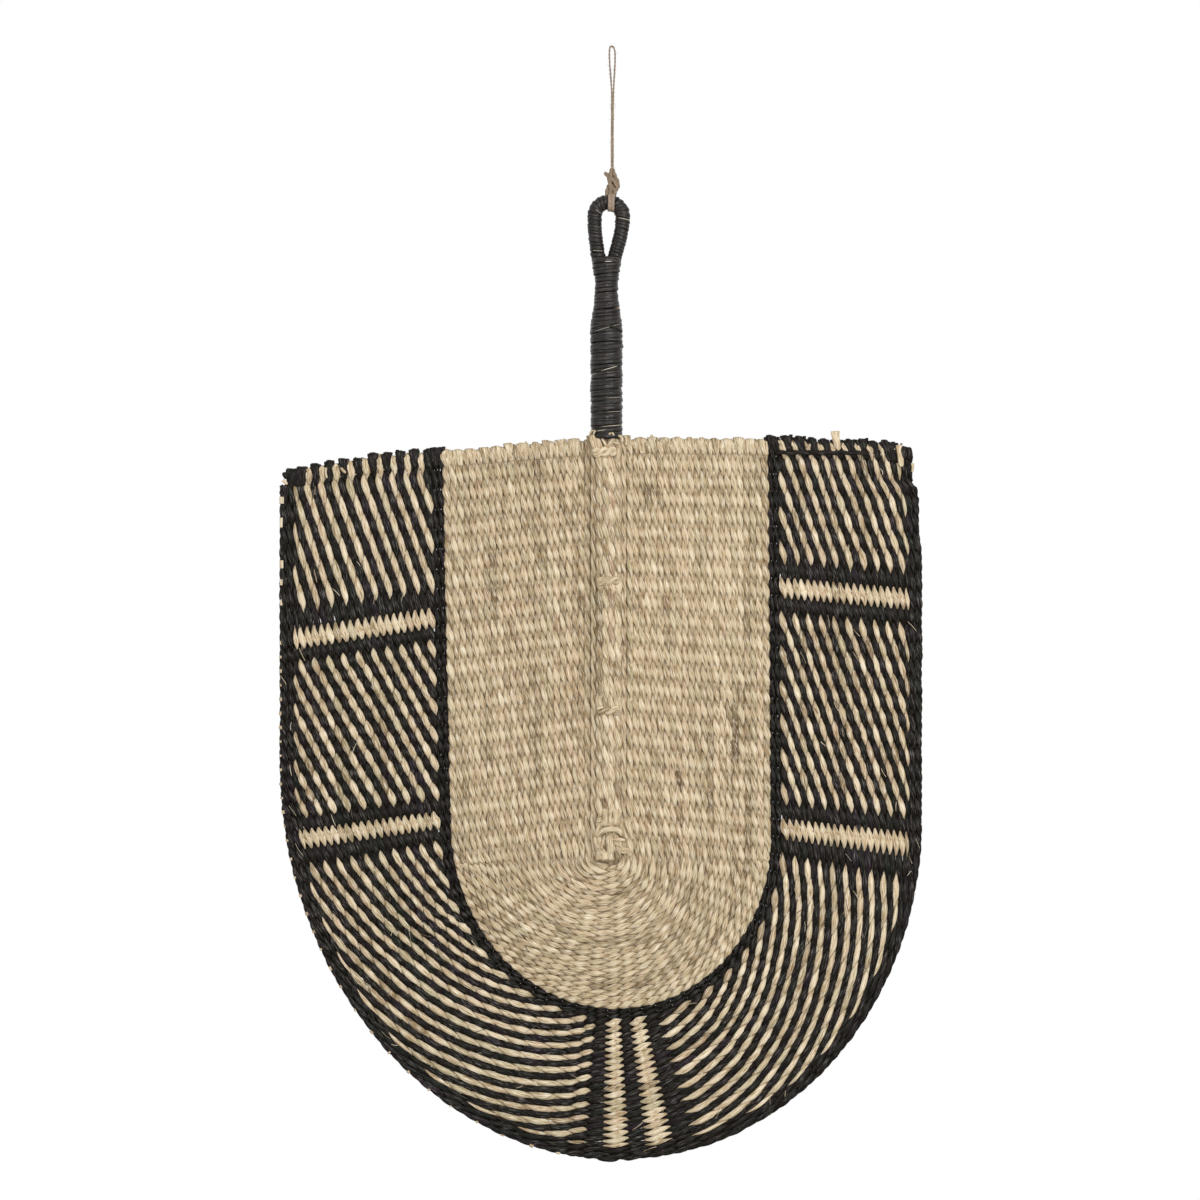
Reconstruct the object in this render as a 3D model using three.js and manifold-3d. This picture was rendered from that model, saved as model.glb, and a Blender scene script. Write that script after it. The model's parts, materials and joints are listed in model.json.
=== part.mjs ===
/**
 * A hand fan twined from seagrass, hanging from a nail by a loop of jute twine.
 *
 * A bent cane makes the hanging eye and a stick makes the grip and the spine of the blade. Both are
 * wound with a flat strip. Stakes cross the blade behind the stick, and forked spokes spread from its
 * foot. Courses of weft run down one side of the spine, round the foot and up the other side, one
 * strand in front of the stakes and one behind, and fold over the first stake at the top edge.
 *
 * Millimetres, +Z up. The origin is where the twine lies on the nail, the front faces -Y, and the
 * fan's own axis is the line x = 0, y = 0.
 */
import * as THREE from 'three';
import Module from 'manifold-3d';
import { mergeVertices } from 'three/addons/utils/BufferGeometryUtils.js';

const wasm = await Module();
wasm.setup();

// Driving dimensions: clearances
const CLEARANCE = 0.3; // between neighbouring pieces that touch on the real fan
const WINDING_GAP = 0.55; // between one turn of a winding and the next
const COURSE_GAP = 0.33; // between one course and the next

// Driving dimensions: twine
const TWINE_DIAMETER = 1.0;
const LOOP_DROP = 69.6; // from the nail down to the knot
const KNOT_WIDTH = 8.6;
const KNOT_DEPTH = 7.6;
const KNOT_HEIGHT = 10.2;
const TAIL_LENGTH = 5.5;
const TAIL_LEAN = 35; // degrees from upright
const TAIL_SHARE = 0.34; // of the knot's width, from its middle to the tail
const TIE_THICKNESS = 1.2;
const TIE_HALF_SPAN = 12.5; // degrees of the eye's arc, each way

// Driving dimensions: hanging eye
const CANE_RADIUS = 2.2;
const EYE_WRAP_THICKNESS = 1.3;
const EYE_ARC_RADIUS = 7.7; // of the cane's centreline over the top
const EYE_SHANK = 1.2; // straight stretch below the arc
const EYE_TAPER = 37.4; // where the two limbs close up into the neck
const EYE_WINDING_LOOPS = 20;

// Driving dimensions: grip
const NECK_RADIUS = 6.4;
const GRIP_RADIUS = 8.8;
const GRIP_WRAP_THICKNESS = 1.1;
const NECK_TO_SHOULDER = 26; // where the neck widens to the full grip
const GRIP_LENGTH = 83; // from the neck to the blade
const LAP_LENGTH = 45; // how far the cane's legs reach below the neck
const TONGUE_HALF_WIDTH = 2.3; // of the stick between the two legs
const TONGUE_LENGTH = 22;
const WHITTLE_LENGTH = 9; // over which the stick is cut flat above the blade
const GRIP_WINDING_LOOPS = 24;

// Driving dimensions: stick inside the blade
const STICK_HALF_WIDTH = 5;
const STICK_HALF_DEPTH = 2.75;
const STICK_FOOT_HALF_WIDTH = 3.6;
const STICK_FOOT_HALF_DEPTH = 2.3;

// Driving dimensions: weave
const STRAND = 1.8; // thickness of one layer of weft
const STAKE_RADIUS = 0.65;
const STAKE_STUB = 1.2; // how far the stakes stand out of the rim
const STAKE_COUNT = 22;
const FIRST_STAKE = 4.6; // below the top edge
const LAST_STAKE = 9.2; // above the middle of the spokes
const PANEL_COURSES = 11;
const STRIPED_COURSES = 10;
const TRUNK_COUNT = 12; // spokes that start at the foot; each forks into three
const FORK_RADIUS = 45; // from the foot to the forks
const HUB_RADIUS = 5;

// Driving dimensions: outline, from the axis or from the blade's top edge
const RIDGE_HALF_WIDTH = 13.2;
const RIDGE_TURN = 231.5;
const RIDGE_DIP = 10.5; // of the ridge's round end, below the stick's foot
const BORDER_LEFT = 89.8;
const BORDER_LEAN_LEFT = 4.8; // how much further out the border is at the top edge
const BORDER_RIGHT = 92.4;
const BORDER_LEAN_RIGHT = -1.6;
const BORDER_TURN = 215.6;
const BORDER_FOOT = 317.3;
const BORDER_SHIFT = 3.5; // of the border's foot, to the right of the axis
const RIM_LEFT = 180.6;
const RIM_TURN_LEFT = 185;
const RIM_RIGHT = 172.2;
const RIM_TURN_RIGHT = 204;
const RIM_FOOT = 398.2;
const RIM_SHIFT = 5.5; // of the rim's foot, to the right of the axis
const CORNER_DROP = 8.5; // of the rim's outer edge at the two top corners
const TOP_DROOP_LEFT = 15; // of the top edge, from the axis to the rim
const TOP_DROOP_RIGHT = 2;
const TURN_DROOP_LEFT = 25; // of the last stake
const TURN_DROOP_RIGHT = 18;

// Driving dimensions: stitches
const BINDING_HALF_WIDTH = 8.5;
const BINDING_HEIGHT = 7.5;
const BINDING_THICKNESS = 2.2;
const STITCH_RADIUS = 1.1;
const STITCH_LENGTH = 12;
const STITCH_DROPS = [79, 150, 211]; // below the top edge
const FOOT_KNOT_HALF_WIDTH = 6.5;
const FOOT_KNOT_HEIGHT = 16;
const FOOT_KNOT_THICKNESS = 2.6;

// Levels down the axis, worked out from the sizes above
const KNOT_TOP = -LOOP_DROP;
const KNOT_BOTTOM = KNOT_TOP - KNOT_HEIGHT;
const LIMB_RADIUS = CANE_RADIUS + CLEARANCE + EYE_WRAP_THICKNESS;
const TIE_INNER = LIMB_RADIUS + CLEARANCE;
const TIE_OUTER = TIE_INNER + TIE_THICKNESS;
const LIMB_Z = KNOT_BOTTOM - CLEARANCE - TIE_OUTER;
const ARC_Z = LIMB_Z - EYE_ARC_RADIUS;
const TAPER_Z = ARC_Z - EYE_SHANK;
const NECK_Z = TAPER_Z - EYE_TAPER;
const BLADE_TOP = NECK_Z - GRIP_LENGTH;
const LEG_END = NECK_Z - LAP_LENGTH;
const HUB_DROP = RIDGE_TURN + CLEARANCE;
const HUB_Z = BLADE_TOP - HUB_DROP;
const RIDGE_FOOT = RIDGE_TURN + RIDGE_DIP;

// Depths: the stakes lie just behind the stick, and the weft lies in front of them and behind them
const MID_Y = STICK_HALF_DEPTH + CLEARANCE + STAKE_RADIUS;
const WEFT_INNER = STAKE_RADIUS + CLEARANCE;
const WEFT_OUTER = WEFT_INNER + STRAND;

const WINDING_STEPS = 12;
const TURN_STEPS = 6; // in each quarter of a course's turn
const ROUND_SIDES = 8;

/** A closed body through rings of equal point counts, either capped at both ends or joined in a circle. */
function loft(rings, joined = false) {
  const count = rings[0].length;
  const positions = rings.flat().flatMap((p) => [p.x, p.y, p.z]);
  const index = [];
  const last = joined ? rings.length : rings.length - 1;
  for (let i = 0; i < last; i += 1) {
    const here = i * count;
    const next = ((i + 1) % rings.length) * count;
    for (let j = 0; j < count; j += 1) {
      const k = (j + 1) % count;
      index.push(here + j, next + j, next + k);
      index.push(here + j, next + k, here + k);
    }
  }
  if (!joined) {
    const end = (rings.length - 1) * count;
    for (let j = 1; j < count - 1; j += 1) {
      index.push(0, j, j + 1);
      index.push(end, end + j + 1, end + j);
    }
  }
  const geometry = new THREE.BufferGeometry();
  geometry.setAttribute('position', new THREE.Float32BufferAttribute(positions, 3));
  geometry.setIndex(index);
  return facingOut(geometry);
}

/** The same body with its faces turned round if its volume comes out negative. */
function facingOut(geometry) {
  const p = geometry.attributes.position;
  const index = geometry.index.array;
  const corner = [new THREE.Vector3(), new THREE.Vector3(), new THREE.Vector3()];
  let volume = 0;
  for (let i = 0; i < index.length; i += 3) {
    corner.forEach((v, k) => v.fromBufferAttribute(p, index[i + k]));
    volume += corner[0].dot(corner[1].clone().cross(corner[2]));
  }
  if (volume < 0) {
    const turned = [];
    for (let i = 0; i < index.length; i += 3) {
      turned.push(index[i], index[i + 2], index[i + 1]);
    }
    geometry.setIndex(turned);
  }
  geometry.computeVertexNormals();
  return geometry;
}

/** A closed three.js geometry as a solid that can be joined or cut. */
function toSolid(geometry) {
  const bare = geometry.index ? geometry.clone() : mergeVertices(geometry);
  bare.deleteAttribute('normal');
  bare.deleteAttribute('uv');
  const merged = mergeVertices(bare, 1e-4);
  return new wasm.Manifold(new wasm.Mesh({
    numProp: 3,
    vertProperties: new Float32Array(merged.attributes.position.array),
    triVerts: new Uint32Array(merged.index.array),
  }));
}

/** A joined or cut solid as a three.js geometry again. */
function fromSolid(solid) {
  const mesh = solid.getMesh();
  const geometry = new THREE.BufferGeometry();
  geometry.setAttribute('position', new THREE.Float32BufferAttribute(mesh.vertProperties, 3));
  geometry.setIndex(Array.from(mesh.triVerts));
  geometry.computeVertexNormals();
  return geometry;
}

function smooth(t) {
  const c = THREE.MathUtils.clamp(t, 0, 1);
  return c * c * (3 - 2 * c);
}

/** A ring of points round a centre, in the plane of two unit vectors. */
function circleRing(centre, across, up, radius, sides) {
  return Array.from({ length: sides }, (_, j) => {
    const a = (2 * Math.PI * j) / sides;
    const out = across.clone().multiplyScalar(Math.cos(a)).addScaledVector(up, Math.sin(a));
    return centre.clone().addScaledVector(out, radius);
  });
}

const BACK = new THREE.Vector3(0, 1, 0);

/** Half the distance between the cane's two limbs at a height below the eye's arc. */
function limbOffset(z) {
  const lapOffset = TONGUE_HALF_WIDTH + CLEARANCE + CANE_RADIUS;
  const neckOffset = CANE_RADIUS + CLEARANCE;
  if (z > TAPER_Z) return EYE_ARC_RADIUS;
  if (z > NECK_Z) {
    const t = (TAPER_Z - z) / EYE_TAPER;
    return neckOffset + (EYE_ARC_RADIUS - neckOffset) * (0.5 + 0.5 * Math.cos(Math.PI * t));
  }
  return neckOffset + (lapOffset - neckOffset) * smooth((NECK_Z - z) / (LAP_LENGTH - TONGUE_LENGTH));
}

/** The cane's centreline: up the left leg, over the eye's arc and down the right leg. */
function caneLine() {
  const points = [];
  const legSteps = 13;
  for (let i = 0; i < legSteps; i += 1) {
    const z = LEG_END + ((ARC_Z - LEG_END) * i) / legSteps;
    points.push(new THREE.Vector3(-limbOffset(z), 0, z));
  }
  const arcSteps = 12;
  for (let i = 0; i <= arcSteps; i += 1) {
    const a = Math.PI * (1 - i / arcSteps);
    points.push(new THREE.Vector3(EYE_ARC_RADIUS * Math.cos(a), 0, ARC_Z + EYE_ARC_RADIUS * Math.sin(a)));
  }
  for (let i = legSteps - 1; i >= 0; i -= 1) {
    const mirrored = points[i].clone();
    mirrored.x *= -1;
    points.push(mirrored);
  }
  return points;
}

/** A round bar along a line that stays in the fan's plane. */
function barInPlane(points, radius, sides) {
  const rings = points.map((p, i) => {
    const before = points[Math.max(i - 1, 0)];
    const after = points[Math.min(i + 1, points.length - 1)];
    const along = after.clone().sub(before).normalize();
    const across = new THREE.Vector3().crossVectors(BACK, along);
    return circleRing(p, across, BACK, radius, sides);
  });
  return loft(rings);
}

// A wound strip's section: flat inside, rounded outside, in shares of its width and thickness
const STRIP_SECTION = [[-0.5, 0], [-0.36, 0.75], [0, 1], [0.36, 0.75], [0.5, 0]];

/** One ring of a flat wound strip. */
function stripRing(centre, outward, along, width, thickness) {
  return STRIP_SECTION.map(([s, t]) => centre.clone().addScaledVector(along, s * width)
    .addScaledVector(outward, t * thickness));
}

/** Adds a straight ring before the first ring and after the last, one strip diameter away. */
function straightEnds(rings, length) {
  const run = (ring, next) => {
    const step = ring[2].clone().sub(next[2]).setLength(length);
    return ring.map((p) => p.clone().add(step));
  };
  return [run(rings[0], rings[1]), ...rings, run(rings.at(-1), rings.at(-2))];
}

/** The least distance between the points of one turn and those of the next, in millimetres. */
function leastGap(rings) {
  let least = Infinity;
  rings.forEach((ring, i) => {
    const others = rings.slice(i + WINDING_STEPS / 2, i + 2 * WINDING_STEPS).flat();
    for (const p of ring) least = Math.min(least, ...others.map((q) => p.distanceTo(q)));
  });
  return least;
}

/** Outer radius of the wound grip at a height. */
function gripOuter(z) {
  const top = limbOffset(EYE_WINDING_END) + CANE_RADIUS + CLEARANCE + GRIP_WRAP_THICKNESS;
  if (z > NECK_Z) {
    return THREE.MathUtils.lerp(NECK_RADIUS, top, smooth((z - NECK_Z) / (EYE_WINDING_END - NECK_Z)));
  }
  return THREE.MathUtils.lerp(NECK_RADIUS, GRIP_RADIUS, smooth((NECK_Z - z) / NECK_TO_SHOULDER));
}

/** Where the two limbs come so close that the eye's own winding has to stop. */
function windingEnd() {
  let z = NECK_Z;
  while (limbOffset(z) < LIMB_RADIUS + WINDING_GAP / 2) z += 0.1;
  return z;
}
const EYE_WINDING_END = windingEnd();

/** The strip wound round the grip, down from the eye to the blade. */
function gripWinding() {
  const top = EYE_WINDING_END - CLEARANCE;
  const bottom = BLADE_TOP + CLEARANCE;
  const pitch = (top - bottom) / (GRIP_WINDING_LOOPS + 1);
  const width = pitch - WINDING_GAP;
  const turns = GRIP_WINDING_LOOPS * WINDING_STEPS;
  const rings = [];
  for (let i = 0; i <= turns; i += 1) {
    const a = (2 * Math.PI * i) / WINDING_STEPS + Math.PI / 2;
    const z = top - pitch / 2 - (pitch * i) / WINDING_STEPS;
    const outward = new THREE.Vector3(Math.cos(a), Math.sin(a), 0);
    const inner = gripOuter(z) - GRIP_WRAP_THICKNESS;
    const centre = new THREE.Vector3(0, 0, z).addScaledVector(outward, inner);
    rings.push(stripRing(centre, outward, new THREE.Vector3(0, 0, 1), width, GRIP_WRAP_THICKNESS));
  }
  console.log(`grip_winding: least gap to itself ${leastGap(rings).toFixed(2)} mm`);
  return loft(straightEnds(rings, GRIP_WRAP_THICKNESS));
}

/** The strip wound round the eye, from one side of the neck to the other. */
function eyeWinding() {
  const curve = new THREE.CatmullRomCurve3(caneLine().filter((p) => p.z > NECK_Z));
  curve.arcLengthDivisions = 1000;
  const length = curve.getLength();
  const lowest = EYE_WINDING_END + EYE_WRAP_THICKNESS;
  let start = 0;
  while (curve.getPointAt(start).z < lowest) start += 1 / curve.arcLengthDivisions;
  const span = 1 - 2 * start;
  const pitch = (span * length) / (EYE_WINDING_LOOPS + 1);
  const turns = EYE_WINDING_LOOPS * WINDING_STEPS;
  const inner = LIMB_RADIUS - EYE_WRAP_THICKNESS;
  const rings = [];
  for (let i = 0; i <= turns; i += 1) {
    const a = (2 * Math.PI * i) / WINDING_STEPS + Math.PI / 2;
    const u = start + (span * (i / WINDING_STEPS + 0.5)) / (EYE_WINDING_LOOPS + 1);
    const along = curve.getTangentAt(u);
    const bend = curve.getTangentAt(u - 0.01).sub(curve.getTangentAt(u + 0.01)).divideScalar(0.02 * length);
    const outside = new THREE.Vector3().crossVectors(BACK, along).negate();
    const outward = outside.clone().multiplyScalar(Math.cos(a)).addScaledVector(BACK, Math.sin(a));
    const turned = bend.dot(outward);
    const stretch = 1 + turned * (turned < 0 ? LIMB_RADIUS : inner);
    const centre = curve.getPointAt(u).addScaledVector(outward, inner);
    rings.push(stripRing(centre, outward, along, pitch * stretch - WINDING_GAP, EYE_WRAP_THICKNESS));
  }
  console.log(`eye_winding: least gap to itself ${leastGap(rings).toFixed(2)} mm`);
  return loft(straightEnds(rings, EYE_WRAP_THICKNESS));
}

/** The stick: a tongue between the cane's legs, a round grip, then cut flat where it enters the blade. */
function spineStick() {
  const core = GRIP_RADIUS - GRIP_WRAP_THICKNESS - 2 * CLEARANCE;
  const tongueTop = LEG_END + TONGUE_LENGTH;
  const tongueDepth = gripOuter(tongueTop) - GRIP_WRAP_THICKNESS - 2 * CLEARANCE;
  const whittle = BLADE_TOP + CLEARANCE + WHITTLE_LENGTH;
  const stations = [
    [tongueTop, core, tongueDepth - CLEARANCE, TONGUE_HALF_WIDTH],
    [LEG_END + TONGUE_LENGTH / 2, core, core - CLEARANCE, TONGUE_HALF_WIDTH],
    [LEG_END - CLEARANCE, core, core, TONGUE_HALF_WIDTH],
    [LEG_END - 3 * CLEARANCE, core, core, core],
    [whittle, core, core, core],
    [BLADE_TOP, STICK_HALF_WIDTH, STICK_HALF_DEPTH, core],
    [HUB_Z + CLEARANCE, STICK_FOOT_HALF_WIDTH, STICK_FOOT_HALF_DEPTH, core],
  ];
  const sides = 16;
  return loft(stations.map(([z, halfWidth, halfDepth, limit]) => Array.from({ length: sides }, (_, j) => {
    const a = (2 * Math.PI * (j + 0.5)) / sides;
    const x = THREE.MathUtils.clamp(halfWidth * Math.cos(a), -limit, limit);
    return new THREE.Vector3(x, halfDepth * Math.sin(a), z);
  })));
}

/** The twine's route: down the left strand of the loop from the nail, and the same up the right one. */
function twineRoute() {
  const half = TWINE_DIAMETER / 2;
  const end = KNOT_TOP + CLEARANCE;
  return [
    [-0.9, -0.7, end], [-0.8, -0.7, -64], [-0.2, -0.8, -58], [0.9, -0.7, -51], [0.9, -0.8, -46],
    [0.3, -0.9, -42.5], [-0.7, -0.6, -38], [-1.1, -0.3, -32], [-1.3, -0.1, -24], [-1.6, 0, -16],
    [-1.7, 0, -9], [-1.6, 0, -4], [-1.45, 0, -1.4], [-0.85, 0, half / 2], [0, 0, half],
    [0.85, 0, half / 2], [1.5, 0, -1.4], [1.8, 0, -4], [1.9, 0, -9], [1.8, 0, -16], [1.4, 0.1, -24],
    [1.1, 0.3, -32], [0.7, 0.6, -38], [-0.3, 0.9, -42.5], [-0.9, 0.8, -46], [-0.9, 0.7, -51],
    [0.2, 0.8, -58], [0.8, 0.7, -64], [0.9, 0.7, end],
  ].map(([x, y, z]) => new THREE.Vector3(x, y, z));
}

/** The loop that hangs on the nail. */
function twineLoop() {
  const shape = new THREE.Shape(Array.from({ length: ROUND_SIDES }, (_, j) => {
    const a = (2 * Math.PI * j) / ROUND_SIDES;
    return new THREE.Vector2(Math.cos(a), Math.sin(a)).multiplyScalar(TWINE_DIAMETER / 2);
  }));
  const route = new THREE.CatmullRomCurve3(twineRoute(), false, 'centripetal');
  const steps = Math.round(route.getLength() / (2.1 * TWINE_DIAMETER));
  console.log(`twine_loop: ${route.getLength().toFixed(1)} mm of twine in ${steps} steps`);
  return new THREE.ExtrudeGeometry(shape, { steps, bevelEnabled: false, extrudePath: route });
}

/** The knot under the loop, with its cut tail standing up beside it. */
function twineKnot() {
  const knot = new THREE.SphereGeometry(1, 14, 10);
  knot.rotateX(Math.PI / 2);
  knot.scale(KNOT_WIDTH / 2, KNOT_DEPTH / 2, KNOT_HEIGHT / 2);
  knot.translate(0, 0, (KNOT_TOP + KNOT_BOTTOM) / 2);
  const tail = new THREE.CylinderGeometry(TWINE_DIAMETER / 2, TWINE_DIAMETER / 2, TAIL_LENGTH, ROUND_SIDES);
  tail.rotateX(Math.PI / 2);
  tail.rotateY(-THREE.MathUtils.degToRad(TAIL_LEAN));
  tail.translate(-TAIL_SHARE * KNOT_WIDTH, 0, KNOT_TOP - TWINE_DIAMETER);
  return fromSolid(toSolid(knot).add(toSolid(tail)));
}

/** The turns of twine round the top of the eye: a short sleeve bent along the eye's arc. */
function twineTie() {
  const around = 20;
  const half = THREE.MathUtils.degToRad(TIE_HALF_SPAN);
  const rings = Array.from({ length: around }, (_, i) => {
    const a = (2 * Math.PI * i) / around;
    const at = (radius, b) => {
      const reach = EYE_ARC_RADIUS + radius * Math.cos(a);
      return new THREE.Vector3(reach * Math.sin(b), radius * Math.sin(a), ARC_Z + reach * Math.cos(b));
    };
    return [
      at(TIE_INNER, -half), at(TIE_INNER, 0), at(TIE_INNER, half),
      at(TIE_OUTER, half), at(TIE_OUTER, 0), at(TIE_OUTER, -half),
    ];
  });
  return loft(rings, true);
}

const COURSES = PANEL_COURSES + 1 + STRIPED_COURSES + 1;
const ROWS = 2 * COURSES;
const BORDER_ROW = 2 * PANEL_COURSES + 1;

/** A value that runs from the ridge's edge through the inner border to the rim, at a row's edge. */
function acrossRows(row, ridge, border, rim) {
  if (row <= BORDER_ROW) return THREE.MathUtils.lerp(ridge, border, row / BORDER_ROW);
  return THREE.MathUtils.lerp(border, rim, (row - BORDER_ROW) / (ROWS - BORDER_ROW));
}

/** One side's outline at a row's edge: its distance out, its lean, where it turns under, and its foot. */
function sideOf(row, side) {
  const left = side < 0;
  return {
    out: acrossRows(row, RIDGE_HALF_WIDTH, left ? BORDER_LEFT : BORDER_RIGHT, left ? RIM_LEFT : RIM_RIGHT),
    lean: acrossRows(row, 0, left ? BORDER_LEAN_LEFT : BORDER_LEAN_RIGHT, 0),
    turn: acrossRows(row, RIDGE_TURN, BORDER_TURN, left ? RIM_TURN_LEFT : RIM_TURN_RIGHT),
    foot: acrossRows(row, RIDGE_FOOT, BORDER_FOOT, RIM_FOOT),
    shift: acrossRows(row, 0, BORDER_SHIFT, RIM_SHIFT),
    droop: left ? TOP_DROOP_LEFT / RIM_LEFT : TOP_DROOP_RIGHT / RIM_RIGHT,
  };
}

/** The point of a row's edge at an angle round the turn, in the fan's plane. */
function turnPoint(row, side, angle) {
  const s = sideOf(row, side);
  const x = side * s.out * Math.cos(angle) + s.shift * Math.sin(angle);
  return new THREE.Vector2(x, BLADE_TOP - s.turn - (s.foot - s.turn) * Math.sin(angle));
}

/** The top end of a row's edge. */
function topPoint(row, side) {
  const s = sideOf(row, side);
  const x = side * (s.out + s.lean);
  const corner = row > ROWS - 1 ? CORNER_DROP : 0;
  return new THREE.Vector2(x, BLADE_TOP - s.droop * Math.abs(x) - corner);
}

/** The whole edge of a row: left top, round the foot, right top. */
function rowEdge(row) {
  const angle = (i) => (Math.PI / 2) * (i / TURN_STEPS);
  const points = [topPoint(row, -1)];
  for (let i = 0; i <= TURN_STEPS; i += 1) points.push(turnPoint(row, -1, angle(i)));
  for (let i = TURN_STEPS - 1; i >= 0; i -= 1) points.push(turnPoint(row, 1, angle(i)));
  points.push(topPoint(row, 1));
  return points;
}

/**
 * One course of two rows: a flat band in front of the stakes and one behind them, joined at the two
 * top ends, where the strands fold over the first stake. The section is a rectangle between the
 * course's inner edge and its outer edge.
 */
function course(number) {
  const leastPitch = Math.min(
    (BORDER_FOOT - RIDGE_FOOT) / BORDER_ROW,
    (BORDER_RIGHT - RIDGE_HALF_WIDTH) / BORDER_ROW,
    (BORDER_LEFT - RIDGE_HALF_WIDTH) / BORDER_ROW,
    (RIM_FOOT - BORDER_FOOT) / (ROWS - BORDER_ROW),
    (RIM_RIGHT - BORDER_RIGHT) / (ROWS - BORDER_ROW),
    (RIM_LEFT - BORDER_LEFT) / (ROWS - BORDER_ROW),
  );
  const share = (0.5 * COURSE_GAP) / leastPitch;
  const inner = rowEdge(2 * number + share);
  const outer = rowEdge(2 * number + 2 - (number === COURSES - 1 ? 0 : share));
  const last = inner.length - 1;
  const ring = (i, faceY, slotY, faceDrop, slotDrop) => [
    new THREE.Vector3(inner[i].x, faceY, inner[i].y - faceDrop),
    new THREE.Vector3(outer[i].x, faceY, outer[i].y - faceDrop),
    new THREE.Vector3(outer[i].x, slotY, outer[i].y - slotDrop),
    new THREE.Vector3(inner[i].x, slotY, inner[i].y - slotDrop),
  ];
  const fold = (i, direction) => [-90, -45, 0, 45, 90].map((degrees) => {
    const a = THREE.MathUtils.degToRad(degrees) * direction;
    const [sin, cos] = [Math.sin(a), Math.cos(a)];
    return ring(i, WEFT_OUTER * sin, WEFT_INNER * sin, WEFT_OUTER * (1 - cos), WEFT_OUTER - WEFT_INNER * cos);
  });
  const along = (from, to, y) => {
    const list = [];
    const direction = Math.sign(to - from);
    for (let i = from; i !== to + direction; i += direction) {
      list.push(ring(i, WEFT_OUTER * y, WEFT_INNER * y, 0, 0));
    }
    return list;
  };
  const rings = [...along(1, last - 1, -1), ...fold(last, 1), ...along(last - 1, 1, 1), ...fold(0, -1)];
  return loft(rings, true).translate(0, MID_Y, 0);
}

/** Inner face of the ridge's front strands, which lie over the stick. */
function ridgeInner(x) {
  const over = -STICK_HALF_DEPTH - CLEARANCE;
  const flat = MID_Y - WEFT_INNER;
  const start = STICK_HALF_WIDTH * 0.8;
  return over + (flat - over) * smooth((Math.abs(x) - start) / (RIDGE_HALF_WIDTH - start));
}

/** A plate made of upright columns; each has its place across, its two faces and its two ends. */
function plate(columns) {
  return loft(columns.map(({ x, front, back, top, bottom }) => [
    new THREE.Vector3(x, front, top),
    new THREE.Vector3(x, front, bottom),
    new THREE.Vector3(x, back, bottom),
    new THREE.Vector3(x, back, top),
  ]));
}

/** Places across the ridge where its plates have a column. */
function ridgeColumns(halfWidth, count) {
  return Array.from({ length: count }, (_, i) => halfWidth * (-1 + (2 * i) / (count - 1)));
}

/** The end of the ridge's rows: half an ellipse under the stick's foot. */
function ridgeBottom(x) {
  const dip = RIDGE_DIP * Math.sqrt(Math.max(0, 1 - (x / RIDGE_HALF_WIDTH) ** 2));
  return BLADE_TOP - RIDGE_TURN - dip;
}

/** The straight rows in front of the stick and the stakes. */
function ridgeFront() {
  return plate(ridgeColumns(RIDGE_HALF_WIDTH - CLEARANCE / 2, 13).map((x) => ({
    x, front: ridgeInner(x) - STRAND, back: ridgeInner(x), top: BLADE_TOP, bottom: ridgeBottom(x),
  })));
}

/** The straight rows behind the stakes. */
function ridgeBack() {
  return plate(ridgeColumns(RIDGE_HALF_WIDTH - CLEARANCE / 2, 9).map((x) => ({
    x, front: MID_Y + WEFT_INNER, back: MID_Y + WEFT_OUTER, top: BLADE_TOP, bottom: ridgeBottom(x),
  })));
}

const END_SHARE = 0.2; // of the binding's height and thickness that is left at its two ends

/** A flat piece of binding that lies on the front of the ridge. */
function onRidge(halfWidth, thickness, top, height, columns) {
  return plate(ridgeColumns(halfWidth, columns).map((x) => {
    const back = ridgeInner(x) - STRAND - CLEARANCE;
    const round = Math.sqrt(1 - (1 - END_SHARE ** 2) * (x / halfWidth) ** 2);
    const reach = (height / 2) * round;
    const middle = top - height / 2;
    return { x, front: back - thickness * round, back, top: middle + reach, bottom: middle - reach };
  }));
}

/** A short twisted stitch across the ridge. */
function tieStitch(drop) {
  const line = [-0.5, -0.3, 0, 0.3, 0.5].map((t) => {
    const x = t * STITCH_LENGTH;
    return new THREE.Vector3(x, ridgeInner(x) - STRAND - CLEARANCE - STITCH_RADIUS, BLADE_TOP - drop);
  });
  const upright = new THREE.Vector3(0, 0, 1);
  return loft(line.map((p) => circleRing(p, BACK, upright, STITCH_RADIUS, ROUND_SIDES)));
}

/** How far below the blade's top edge a stake lies at the axis. */
function stakeDrop(number) {
  return THREE.MathUtils.lerp(FIRST_STAKE, HUB_DROP - LAST_STAKE, number / (STAKE_COUNT - 1));
}

/** The outer end of a stake: just outside the rim, or short of it where the corner is cut off. */
function stakeEnd(number, side) {
  const drop = stakeDrop(number);
  const rim = sideOf(ROWS, side);
  const turnDroop = side < 0 ? TURN_DROOP_LEFT : TURN_DROOP_RIGHT;
  const slope = THREE.MathUtils.lerp(rim.droop, turnDroop / rim.out, number / (STAKE_COUNT - 1));
  if (drop < CORNER_DROP + WEFT_OUTER + STAKE_RADIUS) {
    const x = sideOf(ROWS - 2, side).out;
    return new THREE.Vector3(side * x, MID_Y, BLADE_TOP - drop - slope * x);
  }
  const depth = drop + slope * rim.out;
  const under = THREE.MathUtils.clamp((depth - rim.turn) / (rim.foot - rim.turn), 0, 1);
  const x = rim.out * Math.sqrt(1 - under ** 2) + side * rim.shift * under + STAKE_STUB;
  return new THREE.Vector3(side * x, MID_Y, BLADE_TOP - drop - slope * x);
}

/** A stake that crosses the whole blade behind the stick, a little lower at its two ends. */
function stake(number) {
  const middle = new THREE.Vector3(0, MID_Y, BLADE_TOP - stakeDrop(number));
  return barInPlane([stakeEnd(number, -1), middle, stakeEnd(number, 1)], STAKE_RADIUS, 6);
}

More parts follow.
